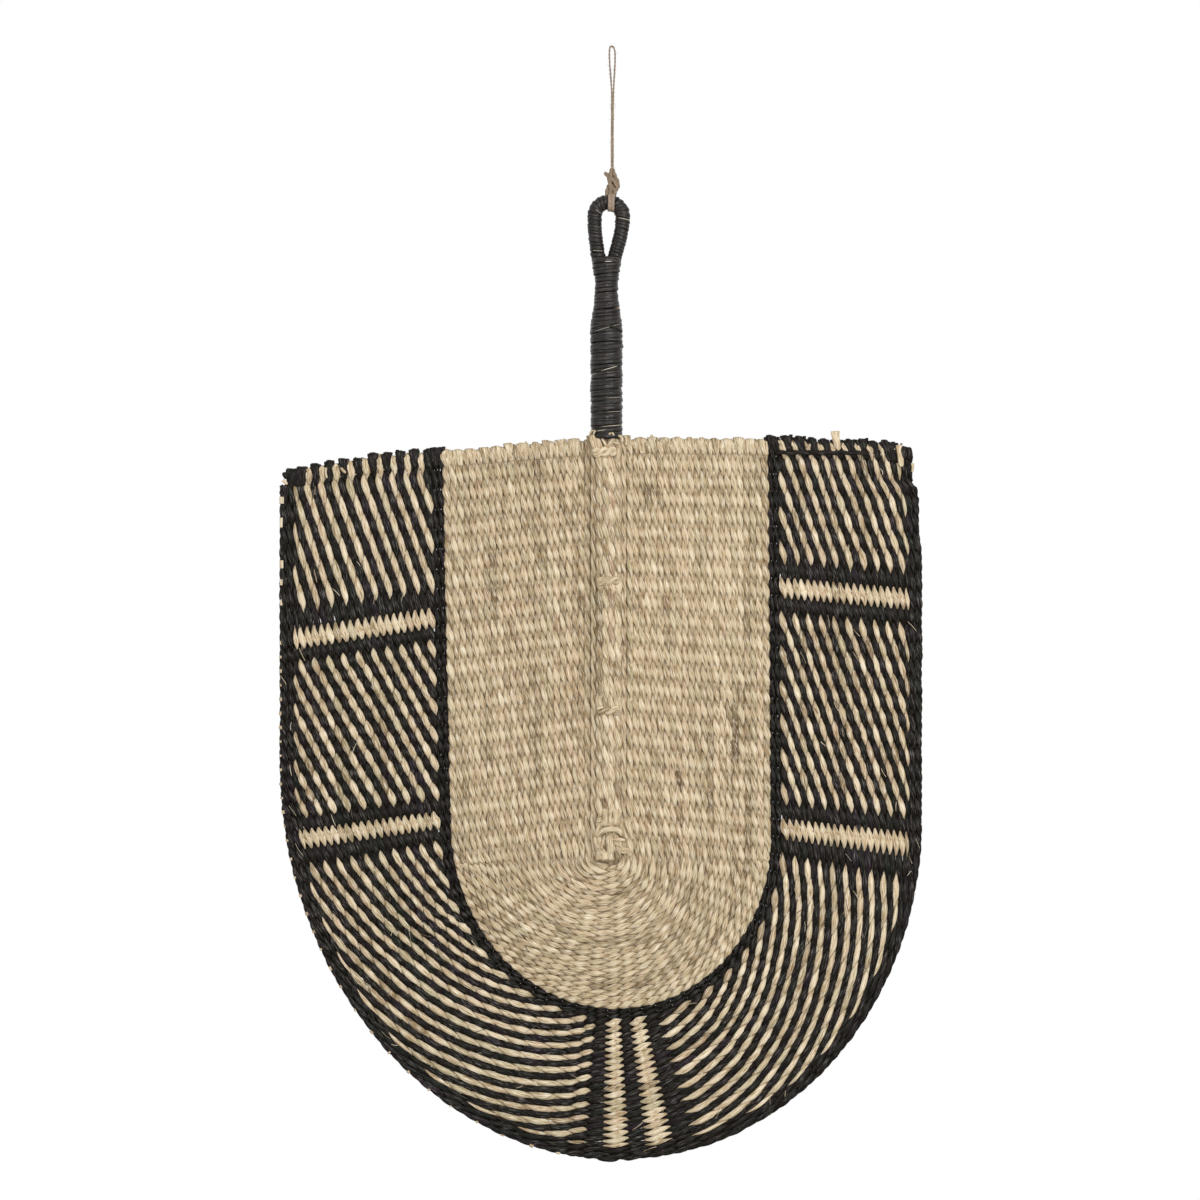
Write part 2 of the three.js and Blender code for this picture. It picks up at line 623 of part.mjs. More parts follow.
/** The rim's point at a sweep round the whole turn, from the left end to the right end. */
function rimPoint(sweep) {
  return sweep < Math.PI / 2 ? turnPoint(ROWS, -1, sweep) : turnPoint(ROWS, 1, Math.PI - sweep);
}

/** The rim's point that a spoke at this angle runs to, and a little past it. */
function spokeEnd(angle) {
  const hub = new THREE.Vector2(0, HUB_Z);
  let low = 0;
  let high = Math.PI;
  for (let i = 0; i < 30; i += 1) {
    const sweep = (low + high) / 2;
    const ray = rimPoint(sweep).sub(hub);
    if (Math.atan2(-ray.y, -ray.x) < angle) low = sweep;
    else high = sweep;
  }
  const end = rimPoint(low);
  return end.add(end.clone().sub(hub).setLength(STAKE_STUB));
}

/** A square bar in the stakes' layer from one point of the fan's plane to another. */
function spokeBar(from, to) {
  const bar = new THREE.BoxGeometry(from.distanceTo(to), 2 * STAKE_RADIUS, 2 * STAKE_RADIUS);
  bar.rotateY(-Math.atan2(to.y - from.y, to.x - from.x));
  bar.translate((from.x + to.x) / 2, MID_Y, (from.y + to.y) / 2);
  return toSolid(bar);
}

/** The spokes: trunks that spread from the stick's foot, each forking into three. */
function spokes() {
  const hub = new THREE.Vector2(0, HUB_Z);
  const angleTo = (p) => Math.atan2(HUB_Z - p.z, Math.abs(p.x));
  const first = angleTo(stakeEnd(STAKE_COUNT - 1, -1));
  const last = Math.PI - angleTo(stakeEnd(STAKE_COUNT - 1, 1));
  const pitch = (last - first) / (3 * TRUNK_COUNT + 1);
  const disc = new THREE.CylinderGeometry(HUB_RADIUS, HUB_RADIUS, 2 * STAKE_RADIUS, 24);
  disc.translate(0, MID_Y, HUB_Z);
  let solid = toSolid(disc);
  for (let i = 0; i < TRUNK_COUNT; i += 1) {
    const angle = first + pitch * (3 * i + 2);
    const fork = new THREE.Vector2(-Math.cos(angle), -Math.sin(angle)).multiplyScalar(FORK_RADIUS).add(hub);
    solid = solid.add(spokeBar(hub, spokeEnd(angle)));
    solid = solid.add(spokeBar(fork, spokeEnd(angle - pitch)));
    solid = solid.add(spokeBar(fork, spokeEnd(angle + pitch)));
  }
  return fromSolid(solid);
}

// Materials
const straw = { color: 0xc9b48c, roughness: 0.75, metalness: 0 };
const blackStraw = { color: 0x2a2827, roughness: 0.6, metalness: 0 };
const wrapping = { color: 0x262322, roughness: 0.5, metalness: 0 };
const stripedStraw = { color: 0x7d7059, roughness: 0.7, metalness: 0 };
const jute = { color: 0xa98f6c, roughness: 0.9, metalness: 0 };
const cane = { color: 0xb99a66, roughness: 0.6, metalness: 0 };
const stalk = { color: 0xd8c79c, roughness: 0.7, metalness: 0 };

const group = new THREE.Group();

function addPiece(name, geometry, look) {
  const mesh = new THREE.Mesh(geometry, new THREE.MeshStandardMaterial(look));
  mesh.name = name;
  group.add(mesh);
}

addPiece('twine_loop', twineLoop(), jute);
addPiece('twine_knot', twineKnot(), jute);
addPiece('twine_tie', twineTie(), jute);
addPiece('eye_cane', barInPlane(caneLine(), CANE_RADIUS, ROUND_SIDES), cane);
addPiece('eye_winding', eyeWinding(), wrapping);
addPiece('grip_winding', gripWinding(), wrapping);
addPiece('spine_stick', spineStick(), cane);
addPiece('ridge_front', ridgeFront(), straw);
addPiece('ridge_back', ridgeBack(), straw);
addPiece('top_binding', onRidge(BINDING_HALF_WIDTH, BINDING_THICKNESS, BLADE_TOP, BINDING_HEIGHT, 9), straw);
STITCH_DROPS.forEach((drop, i) => addPiece(`tie_stitch_${i + 1}`, tieStitch(drop), straw));
addPiece('foot_knot', onRidge(
  FOOT_KNOT_HALF_WIDTH, FOOT_KNOT_THICKNESS, HUB_Z + FOOT_KNOT_HEIGHT - CLEARANCE, FOOT_KNOT_HEIGHT, 9,
), straw);
for (let i = 0; i < STAKE_COUNT; i += 1) addPiece(`stake_${String(i + 1).padStart(2, '0')}`, stake(i), stalk);
addPiece('spokes', spokes(), stalk);
for (let i = 0; i < COURSES; i += 1) {
  let look = stripedStraw;
  if (i < PANEL_COURSES) look = straw;
  if (i === PANEL_COURSES || i === COURSES - 1) look = blackStraw;
  addPiece(`course_${String(i + 1).padStart(2, '0')}`, course(i), look);
}

export default group;
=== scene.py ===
"""The looks of a twined seagrass hand fan, worked out on its packed frame.

The fan hangs from a loop of jute twine. Its blade is twined in rows that run down one side of a stick,
round the stick's foot and up the other side. In each row two strands of grass wind round each other,
and each stake passes between them. The rows are natural in the middle panel, black in the two borders,
and one black and one natural strand in the striped zone.

Metres, +Z up, the front faces -Y. The origin is where the twine lies on its nail.
"""

import json
import math

import bpy
import numpy as np
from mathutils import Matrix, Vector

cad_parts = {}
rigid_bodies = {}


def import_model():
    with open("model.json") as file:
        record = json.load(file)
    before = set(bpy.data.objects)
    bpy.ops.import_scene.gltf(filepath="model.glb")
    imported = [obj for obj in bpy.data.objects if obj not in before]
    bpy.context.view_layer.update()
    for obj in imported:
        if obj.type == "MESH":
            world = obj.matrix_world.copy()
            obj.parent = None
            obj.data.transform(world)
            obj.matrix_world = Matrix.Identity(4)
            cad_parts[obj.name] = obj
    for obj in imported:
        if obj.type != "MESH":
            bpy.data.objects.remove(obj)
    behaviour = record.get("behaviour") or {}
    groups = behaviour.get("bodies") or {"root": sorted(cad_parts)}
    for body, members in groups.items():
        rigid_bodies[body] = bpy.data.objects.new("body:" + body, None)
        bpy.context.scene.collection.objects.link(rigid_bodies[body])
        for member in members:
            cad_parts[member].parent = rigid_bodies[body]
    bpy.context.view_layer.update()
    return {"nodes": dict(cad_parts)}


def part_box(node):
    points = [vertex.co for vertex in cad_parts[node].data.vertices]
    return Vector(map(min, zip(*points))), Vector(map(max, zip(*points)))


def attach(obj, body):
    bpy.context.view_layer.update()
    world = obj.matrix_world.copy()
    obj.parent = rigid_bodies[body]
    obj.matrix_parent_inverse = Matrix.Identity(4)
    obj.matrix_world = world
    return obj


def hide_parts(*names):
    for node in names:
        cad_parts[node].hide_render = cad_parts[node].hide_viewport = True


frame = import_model()

bl_info = {
    "name": "Twined Seagrass Fan",
    "version": (1, 0, 0),
    "blender": (4, 5, 0),
    "location": "View3D > Sidebar > Fan",
    "description": "Builds the strands, windings, twine and stage of a twined seagrass fan",
    "category": "Add Mesh",
}

MM = 0.001
BACK = np.array([0.0, 1.0, 0.0])
UP = np.array([0.0, 0.0, 1.0])
ACROSS = np.array([1.0, 0.0, 0.0])

# Levels and depths, read from the frame
BLADE_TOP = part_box("ridge_front")[1].z
HUB_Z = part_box("spine_stick")[0].z - 0.3 * MM
MID_Y = (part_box("stake_05")[0].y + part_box("stake_05")[1].y) / 2
BACK_LAYER = MID_Y + 1.85 * MM  # the middle of the strands behind the stick
STICK_FRONT = -2.75 * MM
# Rows of weft: -2 and -1 over the ridge, 0 to 21 in the panel, 22 and 23 in the inner border, 44 and 45 in
# the rim
ROWS = 46
RIDGE_TURNS = (-2, -1)
BORDER_ROWS = (22, 23)
RIM_ROWS = (44, 45)
ROW_ANCHORS = (-4, 0, 23, 46)
# Rows that lie further in or out than evenly: the inner border is drawn tight, and so is the rim
ROW_SHIFTS = (
    (-4, 21, 22, 24, 25, 33, 36, 38, 43, 44, 46),
    (-4.0, 21.0, 22.12, 23.8, 24.9, 33.0, 36.3, 38.4, 43.45, 44.1, 46.0),
)

# Each side's outline at those four anchors, in millimetres: stick, ridge, inner border, rim
OUT = {-1: (0.0, 13.2, 89.8, 180.6), 1: (0.0, 13.2, 92.4, 172.2)}
LEAN = {-1: (0.0, 0.0, 4.8, 0.0), 1: (0.0, 0.0, -1.6, 0.0)}
TURN = {-1: (227.0, 231.5, 215.6, 185.0), 1: (227.0, 231.5, 215.6, 204.0)}
FOOT = (228.9, 242.0, 317.3, 397.3)
SHIFT = (2.0, 2.0, 3.5, 5.5)  # of the foot, to the right
HUB_X = 2.0
DROOP = {-1: 15.0 / 180.6, 1: 2.0 / 172.2}
CORNER_DROP = {-1: 14.0, 1: 5.0}
# The top edge's further drop by row, and how far the right rim is drawn in by depth below the top edge, from
# which row on and over how many rows
TOP_DROP = {-1: ((32, 38, 46), (0.0, 2.6, 5.0)), 1: ((25, 29, 41, 44, 46), (0.0, 1.4, 1.8, 4.6, 6.0))}
DRAWN_IN = ((0, 24, 28, 33, 50, 64), (5.2, 5.2, 3.0, 1.8, 1.6, 0.0))
DRAWN_ROWS = (30, 16)

# Stakes of the panel: how many, the first and last one's depth on the axis, and the last one's slope
PANEL_STAKES = 24
FIRST_STAKE = 4.6
LAST_STAKE = 222.6
LAST_SLOPE = {-1: 25.0 / 180.6, 1: 18.0 / 172.2}

# Spokes of the panel: from this row on, so many in the half turn
SPOKE_TIERS = ((-2, 3), (0, 5), (3, 8), (6, 12), (12, 21), (17, 27), (20, 35))
SPOKE_REACH = 93.0  # degrees from straight down to the last stake

# Stakes and spokes of the striped zone: how many in all, and some of the stakes down each side with their
# numbers from the top edge, depths and slopes
ZONE_STAKES = 85
ZONE_LEGS = {
    -1: ((0, 8, 22), (4.6, 85.0, 198.0), (15.0 / 180.6, 0.157, 0.133)),
    1: ((0, 8, 22), (4.6, 74.0, 205.0), (2.0 / 172.2, 0.092, 0.108)),
}
# Some of the zone's lines, by number from the left top, with their degrees from straight down
FAN_NUMBERS = (22, 30, 36, 37, 38, 39, 40, 41, 42, 43, 46, 49, 55, 62)
FAN_ANGLES = (-96.7, -64.5, -32.5, -26.5, -21.0, -15.0, -9.7, -6.4, -3.2, 0.9, 14.8, 32.2, 59.0, 95.2)
FAN_RADIUS = 135.0
HUB_DEPTH = 231.8
HUB_SPOKES = 6  # spokes on each side that start between the last stake and the hub

# Bands across the striped zone, by stake number: light ones, each with a dark one either side
LIGHT_BANDS = (8, 22, 43, 45, 62, 76)
DARK_BANDS = (7, 9, 21, 23, 42, 44, 46, 61, 63, 75, 77)

BLACK_LOBES = ((43, 1), (42, -1))  # rows whose fold at the left end, 1, or the right end, -1, is black
BENT_ENDS = (8, 40)  # stakes whose cut ends lie bent along the left rim
# Longer ones above them: depth below the top edge, half the length and half the width in millimetres
LONG_ENDS = ((34.2, 1.9, 1.35), (46.6, 2.7, 0.9), (69.7, 2.2, 1.15), (79.6, 1.6, 0.85), (90.6, 1.6, 0.85))

SPLINE_STEPS = 4000
HALF_STEPS = 800  # points of a row from its top end to its foot

# A light band's wide stitch, in stakes: how far it reaches, how far it keeps its width, and over what length
# it narrows. Then how much further forward it stands, as a share of the swing, where that starts and over
# what length it grows
BAND_REACH = 0.76
BAND_FLAT, BAND_TAPER = 0.08, 0.62
BAND_LIFT = 0.8
BAND_FOOT, BAND_RISE = 0.8, 0.5
# How far strands stray across a row, as a share of its width, and in depth, in millimetres
ROW_DRIFT, STITCH_LIFT = 0.03, 0.12
# Tone: how much darker a strand is painted between two stakes, as shade where it dips behind its neighbours,
# how much it varies and how much lighter it is, in the striped zone and elsewhere, and how dark a stain is
TIP_PAINTED_SHADE, PANEL_TIP_PAINTED_SHADE = 0.14, 0.12
ZONE_SPREAD, PANEL_SPREAD = 0.2, 0.13
ZONE_LIGHT, PANEL_LIGHT = 0.12, 0.03
STAIN_SHADE = 0.75
# Tone and tint along a strand: metres between two slow changes, how much the tint varies, and how much both
# vary from stitch to stitch
TONE_SPACING = 0.09
TINT_SPREAD = 0.2
TONE_STEP, TINT_STEP = 0.09, 0.08

# Folds at the top edge, in millimetres: how far they hang down, and the same for natural ones on the right
FOLD_REACH, SHORT_REACH = 8.5, 6.4
NATURAL_FOLD, RIM_FOLD = 1.7, 1.6  # half the width of a natural one, and of the last row's
PANEL_FOLDS = (0.5, 0.84)  # the same in the panel's even and odd rows, as a share of a row
RIGHT_LEAN = -1.7  # how far a fold leans on the right of the striped zone

# Brown stains in the panel, in millimetres: half their width, then place across and up and half the height
STAIN_HALF = 2.2
STAINS = (
    (69.6, -376.0, 16.0), (-62.4, -298.7, 7.0), (-63.6, -281.5, 6.0), (22.0, -246.0, 7.0), (9.0, -331.0, 6.0),
)

# The ridge, in millimetres: half its width, half its flat middle, and how far its strands swing
RIDGE_ROWS = 8
RIDGE_HALF = 13.2
RIDGE_FLAT = 4.0
RIDGE_SHOULDER = 7.0  # where it starts to fall away to the panel
# The strands' inner face in front of the stick, and at the sides in front of the blade's middle. Then their
# own middle in front of that face, and at the sides as before
RIDGE_FACE = (0.3, 0.95)
RIDGE_LAYER = (1.4, 0.8)
RIDGE_STRAND = 0.62  # half the thickness of its strands
RIDGE_SWING = 1.0
RIDGE_BACK_SWING = 0.55
RIDGE_END = (220, 12)  # where its own rows sink into the panel, from the top edge, and over what length
RIDGE_DIP = {True: 7.0, False: 13.0}  # how much further down its middle rows reach, in front and at the back

# The eye and the grip, in millimetres, with heights from the origin
CANE_RADIUS = 2.2
LIMB_RADIUS = 3.8  # of the cane with its winding
EYE_ARC_RADIUS = 7.7  # of the cane's middle line
ARC_Z = -93.1  # the arc's centre
TAPER_Z, NECK_Z = -94.3, -131.7  # between these two the cane's limbs come together
LIMB_GAP = 0.3  # from the axis to a limb where the two lie side by side
LAP_OFFSET, LAP_RUN = 4.8, 23.0  # how far they part again beside the stick, and over what length
EYE_WINDING_END = -117.8
WRAP_THICKNESS = 1.4
NECK_RADIUS, GRIP_RADIUS = 6.4, 8.8
NECK_TO_SHOULDER = 26.0  # the length over which the grip grows from the one to the other
GRIP_LEAN, LEAN_START, LEAN_RUN = 1.15, -96.0, 22.0  # how far it stands left, from where and over what length
# Strands that cross the grip's winding at a slant, by the heights of their right and left ends
GRIP_SLANTS = ((-157.0, -150.5), (-150.0, -155.5), (-162.5, -159.5), (-174.0, -178.0))
# Thin natural fibres round the grip: angles and heights of their ends, and half their width
GRIP_FIBRES = (
    (-1.9, -0.5, -178.6, -174.8, 0.16), (-2.4, -0.6, -157.0, -152.5, 0.08),
    (-1.6, -0.3, -193.6, -192.6, 0.07), (-1.6, -0.2, -201.2, -200.4, 0.08),
    (-1.9, -0.2, -209.2, -207.8, 0.14), (-2.2, -1.6, -211.6, -210.8, 0.14),
    (-2.9, -2.2, -180.4, -180.0, 0.1), (-1.7, -1.1, -118.6, -118.4, 0.22),
    (-1.2, -0.4, -165.0, -166.5, 0.06),
)
# The same round the eye: share of the way along it, angles of the ends, and half the width
EYE_FIBRES = ((0.1, -2.4, -1.0, 0.09), (0.67, -2.2, -0.5, 0.12), (0.38, -2.6, -1.6, 0.08))
# Turns of the tie on the eye's arc: place across, spread to the right and slant
TIE_TURNS = ((0.1, 0.0, 0.2), (0.95, 0.15, 0.0), (1.8, 0.3, 0.15), (2.6, 0.5, -0.2))
TIE_RADIUS = 4.55
# A laid cord's radius in the groove between its plies, and how much a ply adds, as shares
GROOVE, PLY_BULGE = 0.78, 0.27

# Where the random draws start. The last three are added to the number that a user can set
SEEDS = {
    "twine": 5, "tie": 7, "eye": 21, "grip": 22, "pale_fibres": 23, "knots": 31,
    "ridge": 100, "stakes": 200, "loose": 300,
}

# The stage: name, place and size of each lamp in metres, the setting with its power, and the floor's extent
LAMPS = (
    ("key_lamp", (1.15, -1.7, 0.55), 1.1, "key_power"),
    ("fill_lamp", (-1.5, -1.6, -0.25), 1.5, "fill_power"),
    ("front_lamp", (0.25, -2.5, 0.15), 0.22, "front_power"),
)
LAMP_AIM = (0.0, 0.0, -0.38)
FLOOR_X, FLOOR_Y, FLOOR_Z = (-2.2, 2.2), (-3.2, 0.85), -0.75

# The twine's route in millimetres: up the left strand of the loop to the nail, and down the right one
TWINE_ROUTE = (
    (1.6, -0.5, -69.3), (1.65, -0.4, -64), (1.65, -0.3, -56), (1.65, -0.3, -48), (1.75, -0.2, -40),
    (1.8, -0.1, -32), (1.75, 0, -26), (1.5, 0, -20.5), (1.1, 0, -15), (0.7, 0, -10), (0.5, 0, -6),
    (0.5, 0, -2.4), (0.8, 0, -0.4), (1.7, 0, 0.5), (2.7, 0, -0.2), (3.4, 0, -2.2), (3.6, 0, -6),
    (3.4, 0, -12), (3.0, 0, -19), (2.65, 0.1, -26), (2.55, 0.2, -34), (2.45, 0.4, -42), (2.45, 0.4, -50),
    (2.45, 0.4, -58), (2.45, 0.5, -64), (2.5, 0.5, -69.3),
)
# The knot's strands as points: across, depth and height in millimetres
KNOT_STRANDS = (
    ((1.6, -0.8, -67.2), (1.0, -1.5, -70.4), (0.6, -2.0, -74.0), (1.2, -2.2, -77.6), (0.8, -1.8, -81.8)),
    ((2.5, 0.4, -67.4), (3.4, -0.6, -70.8), (5.0, -0.9, -74.6), (5.0, -1.2, -77.0), (3.4, -1.8, -79.8),
     (2.8, -1.6, -82.2)),
    ((-0.4, -0.6, -72.4), (1.2, -2.2, -72.6), (3.4, -2.4, -74.6), (4.6, -1.4, -77.4), (3.6, -0.4, -79.6)),
    ((-0.4, -0.2, -78.6), (0.8, -1.6, -76.4), (2.8, -1.8, -78.2), (3.6, -0.6, -80.6), (2.4, -1.0, -82.4)),
    ((0.2, 1.2, -70.8), (1.8, 2.2, -73.4), (3.6, 1.6, -76.0), (2.0, 2.0, -79.4), (1.4, 1.6, -82.0)),
    ((3.0, 0.2, -72.8), (1.6, -0.8, -72.2), (0.2, -1.4, -71.4), (-1.6, -1.2, -69.6)),
    ((2.2, 0.2, -70.0), (2.6, 0.4, -74.0), (2.4, 0.4, -78.0), (2.0, 0.2, -82.0)),
    ((0.2, -0.4, -76.0), (-0.6, -0.8, -79.0), (-1.0, -0.8, -81.6), (-0.8, -0.6, -84.0)),
    ((-0.4, -1.3, -70.8), (-1.2, -1.4, -70.2), (-2.1, -1.2, -69.5)),
)

# Tucked strands: points across, depth and height from a level, then half the width and half the depth, all in
# millimetres. The level is the blade's top, the stick's foot, the edge strand or the rim's foot.

# Round the grip's end
BINDING_TUCKS = (
    (((-8.8, -5.4, 0.9), (-8.6, -6.6, -1.4), (-7.8, -6.8, -4.0), (-7.0, -5.6, -6.4)), 1.9, 1.0),
    (((-6.0, -5.4, -0.2), (-5.8, -7.2, -2.0), (-5.0, -7.4, -4.2), (-4.3, -5.6, -6.6)), 1.45, 0.9),
    (((-4.2, -5.6, 0.4), (-3.2, -6.8, -1.6), (-2.0, -7.0, -3.6), (-0.8, -5.8, -5.8)), 0.85, 0.7),
    (((3.0, -5.6, -0.2), (2.2, -7.2, -1.8), (0.8, -7.6, -3.8), (-0.6, -6.0, -6.0)), 1.2, 0.8),
    (((-0.4, -7.4, -0.2), (0.7, -8.8, 1.8), (2.1, -8.8, 2.0), (3.0, -7.2, 0.0)), 0.6, 0.5),
    (((-10.6, -5.0, -0.4), (-10.2, -5.8, 1.6), (-8.9, -6.4, 3.4), (-7.4, -6.6, 3.4)), 0.5, 0.45),
    (((-8.2, -5.6, 0.2), (-8.2, -6.4, 1.6), (-7.6, -7.0, 2.8), (-6.9, -6.8, 3.3)), 0.5, 0.45),
    (((4.6, -5.0, -0.2), (6.2, -6.2, 0.6), (7.4, -6.2, -1.2), (7.2, -5.4, -3.2)), 0.9, 0.7),
    (((8.2, -4.4, -0.4), (9.0, -5.2, 0.6), (9.8, -5.0, -1.0), (9.4, -4.2, -4.6)), 0.9, 0.7),
    (((5.2, -5.4, -5.4), (5.4, -6.6, -7.4), (5.2, -6.6, -10.0), (5.0, -5.2, -12.8)), 1.15, 0.8),
    (((11.4, -3.6, -1.8), (12.6, -4.6, -3.2), (14.0, -4.2, -4.8)), 0.35, 0.35),
)
# The binding's strand that lies level
LEVEL_TUCKS = ((((2.4, -6.0, -3.4), (3.6, -7.4, -3.2), (5.2, -7.2, -3.6), (6.4, -5.8, -3.8)), 0.95, 0.7),)
# At the ridge's foot: folds, an arch, a wedge down to the first spokes and arches beside it
FOOT_TUCKS = (
    (((-1.9, -5.2, 28.0), (-1.9, -6.8, 24.0), (-1.9, -6.9, 20.6), (-1.9, -6.0, 18.0)), 1.6, 0.9),
    (((0.8, -5.2, 28.0), (0.8, -6.8, 24.0), (0.9, -6.8, 20.0), (0.9, -6.0, 17.2)), 1.1, 0.9),
    (((3.7, -5.2, 28.0), (3.8, -6.8, 24.0), (3.9, -6.9, 21.0), (3.9, -6.0, 18.4)), 1.75, 0.9),
    (((-5.0, -4.8, 20.0), (-5.6, -6.2, 17.6), (-6.8, -6.0, 14.4), (-7.4, -4.8, 12.4)), 0.9, 0.8),
    (((-6.8, -4.6, 12.0), (-3.2, -6.8, 15.6), (1.4, -7.2, 16.6), (5.8, -6.8, 15.8), (7.2, -4.8, 12.6)),
      1.6, 1.0),
    (((1.4, -5.8, 10.8), (4.0, -6.8, 11.0), (6.6, -6.2, 10.8), (9.2, -4.4, 10.0)), 1.1, 0.8),
    (((1.8, -5.0, 9.6), (4.0, -6.2, 8.6), (6.4, -5.6, 7.4), (8.2, -3.8, 5.6)), 0.8, 0.7),
    (((0.2, -5.4, 13.6), (0.4, -6.8, 10.6), (0.8, -6.4, 6.6), (1.2, -4.4, 2.4)), 2.0, 0.9),
    (((-8.0, -3.8, 12.6), (-7.4, -5.0, 10.2), (-6.0, -4.8, 7.6), (-4.6, -3.6, 5.4)), 1.2, 0.8),
    (((-2.4, -5.0, 12.6), (-3.2, -5.8, 9.8), (-4.0, -5.2, 7.2), (-4.6, -3.8, 4.6)), 1.1, 0.8),
    (((6.3, -4.8, 20.6), (7.4, -6.0, 17.4), (8.8, -5.6, 13.8), (10.2, -4.0, 10.8)), 1.35, 0.9),
    (((9.4, -3.6, 21.4), (10.6, -4.6, 17.6), (12.2, -4.0, 13.6), (13.4, -2.6, 10.8)), 1.2, 0.8),
    (((-7.2, -3.0, 7.6), (-4.4, -4.4, 4.4), (-1.0, -4.4, 3.0), (2.4, -3.2, 4.6)), 1.5, 0.9),
    (((4.4, -3.4, 5.8), (7.4, -4.2, 4.6), (10.4, -3.4, 4.8), (12.8, -1.8, 2.0)), 1.6, 0.9),
    (((2.6, -3.4, 8.0), (3.8, -4.4, 5.4), (4.8, -3.8, 3.0), (5.6, -2.6, 0.6)), 0.8, 0.7),
)
# The black strand sewn under the right top edge: where each of its stitches starts, and one stitch
SEWN_STARTS = range(94, 142, 8)
SEWN_STRAND = ((((-1.5, -0.3, 0.5), (2.0, -1.5, 0.1), (6.0, -1.5, -0.4), (9.5, -0.15, -0.9)), 1.15, 0.7),)
# Black knobs at the two top corners
CORNER_KNOBS = (
    (((162.6, -1.6, 3.4), (162.2, -3.0, 1.6), (162.8, -3.2, -1.6), (163.6, -2.0, -4.0)), 1.7, 0.9),
    (((165.0, -1.4, 2.8), (165.4, -2.8, 1.0), (165.8, -3.0, -1.8), (166.2, -1.8, -4.4)), 1.7, 0.9),
    (((-178.7, -1.2, -11.0), (-178.2, -2.4, -12.2), (-177.4, -2.4, -13.4), (-176.8, -1.2, -14.4)), 1.4, 0.9),
)
# Black knobs at the rim's foot
RIM_KNOBS = (
    (((-6.4, -0.4, 1.6), (-2.4, -1.5, 0.9), (2.6, -1.5, 0.7), (6.4, -0.4, 1.9)), 1.45, 1.2),
    (((7.6, -0.4, 2.0), (10.2, -1.5, 1.3), (13.0, -1.4, 1.6), (16.8, -0.4, 3.0)), 1.4, 1.2),
)
# Pale cut ends at the top edge, with half the width at either end
PALE_ENDS = (
    (((159.8, -2.2, 4.1), (160.3, -3.2, 0.4), (160.8, -3.2, -4.2), (161.1, -2.0, -8.0)), (1.9, 1.6), 0.5),
    (((167.2, -2.0, -5.9), (167.4, -2.8, -8.2), (167.2, -1.8, -10.8)), (0.9, 0.7), 0.5),
    (((124.7, -1.8, 11.7), (124.9, -2.8, 8.4), (125.8, -3.2, 4.6), (126.7, -2.0, 1.2)), (2.6, 1.5), 0.5),
    (((-179.2, -1.8, -15.2), (-178.0, -2.6, -16.4), (-176.8, -1.8, -17.6)), (1.0, 0.9), 0.5),
    (((-147.2, -1.8, -8.6), (-146.0, -2.6, -10.0), (-144.6, -1.6, -11.4)), (0.7, 0.7), 0.5),
    (((-155.4, -1.8, -8.4), (-155.6, -2.8, -11.0), (-155.0, -1.6, -14.2)), (0.6, 0.6), 0.5),
)
# The levels of the tables for the top edge and for the rim's foot: how far in front of the blade's middle and
# below its top. The depths of the top edge's tables are taken times the flatness
EDGE_LEVEL = (2.0, 8.3)
RIM_LEVEL = (-0.8, 398.2)
EDGE_FLATNESS = 0.4


def srgb(red, green, blue):
    """A colour as a screen shows it, 0 to 255, in the linear values that a shader takes."""
    shares = (np.array([red, green, blue]) / 255 + 0.055) / 1.055
    return tuple(np.where(shares < 0.09, shares * 1.055 / 12.92, shares ** 2.4))


def length(name, description, millimetres):
    """A length that a user can set, with its default in millimetres."""
    return bpy.props.FloatProperty(
        name=name, description=description, default=millimetres * MM, min=0.0, unit="LENGTH", precision=5
    )


def share(name, description, value, highest=1.0):
    """A plain number that a user can set, from nothing to its highest value."""
    return bpy.props.FloatProperty(name=name, description=description, default=value, min=0.0, max=highest)


def count(name, description, value):
    """A whole number that a user can set."""
    return bpy.props.IntProperty(name=name, description=description, default=value, min=1)


def colour(name, description, red, green, blue):
    """A colour that a user can set, with its default as a screen shows it."""
    return bpy.props.FloatVectorProperty(
        name=name, description=description, subtype="COLOR", size=3, min=0.0, max=1.0,
        default=srgb(red, green, blue),
    )


class FanWeaveSettings(bpy.types.PropertyGroup):
    """Sizes of the twined strands."""

    seed: count("Seed", "Number that the strands' small differences start from", 11)
    samples: count("Samples", "Rings of a strand from one stake to the next", 8)
    swing: length("Swing", "How far a strand's middle lies in front of the stakes and behind them", 1.6)
    front_share: share("Front width", "Half a strand's width where it shows, as a share of a row", 0.55)
    black_share: share("Black width", "The same for black grass in the striped zone", 0.58)
    pale_share: share("Natural width", "The same for natural grass in the striped zone", 0.5)
    band_share: share("Band width", "The same in the middle of a light band's wide stitch", 0.6)
    narrowing: share("Narrowing", "How much narrower that is between two stakes, as a share of a row", 0.27)
    band_narrowing: share("Band narrowing", "The same at the tips of a light band's stitch", 0.54)
    panel_narrowing: share("Panel narrowing", "The same in the panel and the inner border", 0.3)
    beside_narrowing: share("Narrowing beside a band", "The same for the strand behind a light band", 0.1)
    tip_share: share("Tip", "How far from the middle between two stakes a stitch starts, in stakes", 0.3)
    panel_tip: share("Panel tip", "The same in the panel and the inner border", 0.42)
    slant_share: share("Slant", "How far a strand stands aside between two stakes, as a share of a row", 0.27)
    half_depth: length("Half depth", "Half a strand's thickness where it shows", 0.8)
    unevenness: share("Unevenness", "How much the stitches differ in width", 0.07)
    fold_width: length("Fold width", "Half the width of a fold at the top edge", 2.6)
    fibres: count("Loose fibres", "Loose fibres that lie on the striped zone", 170)


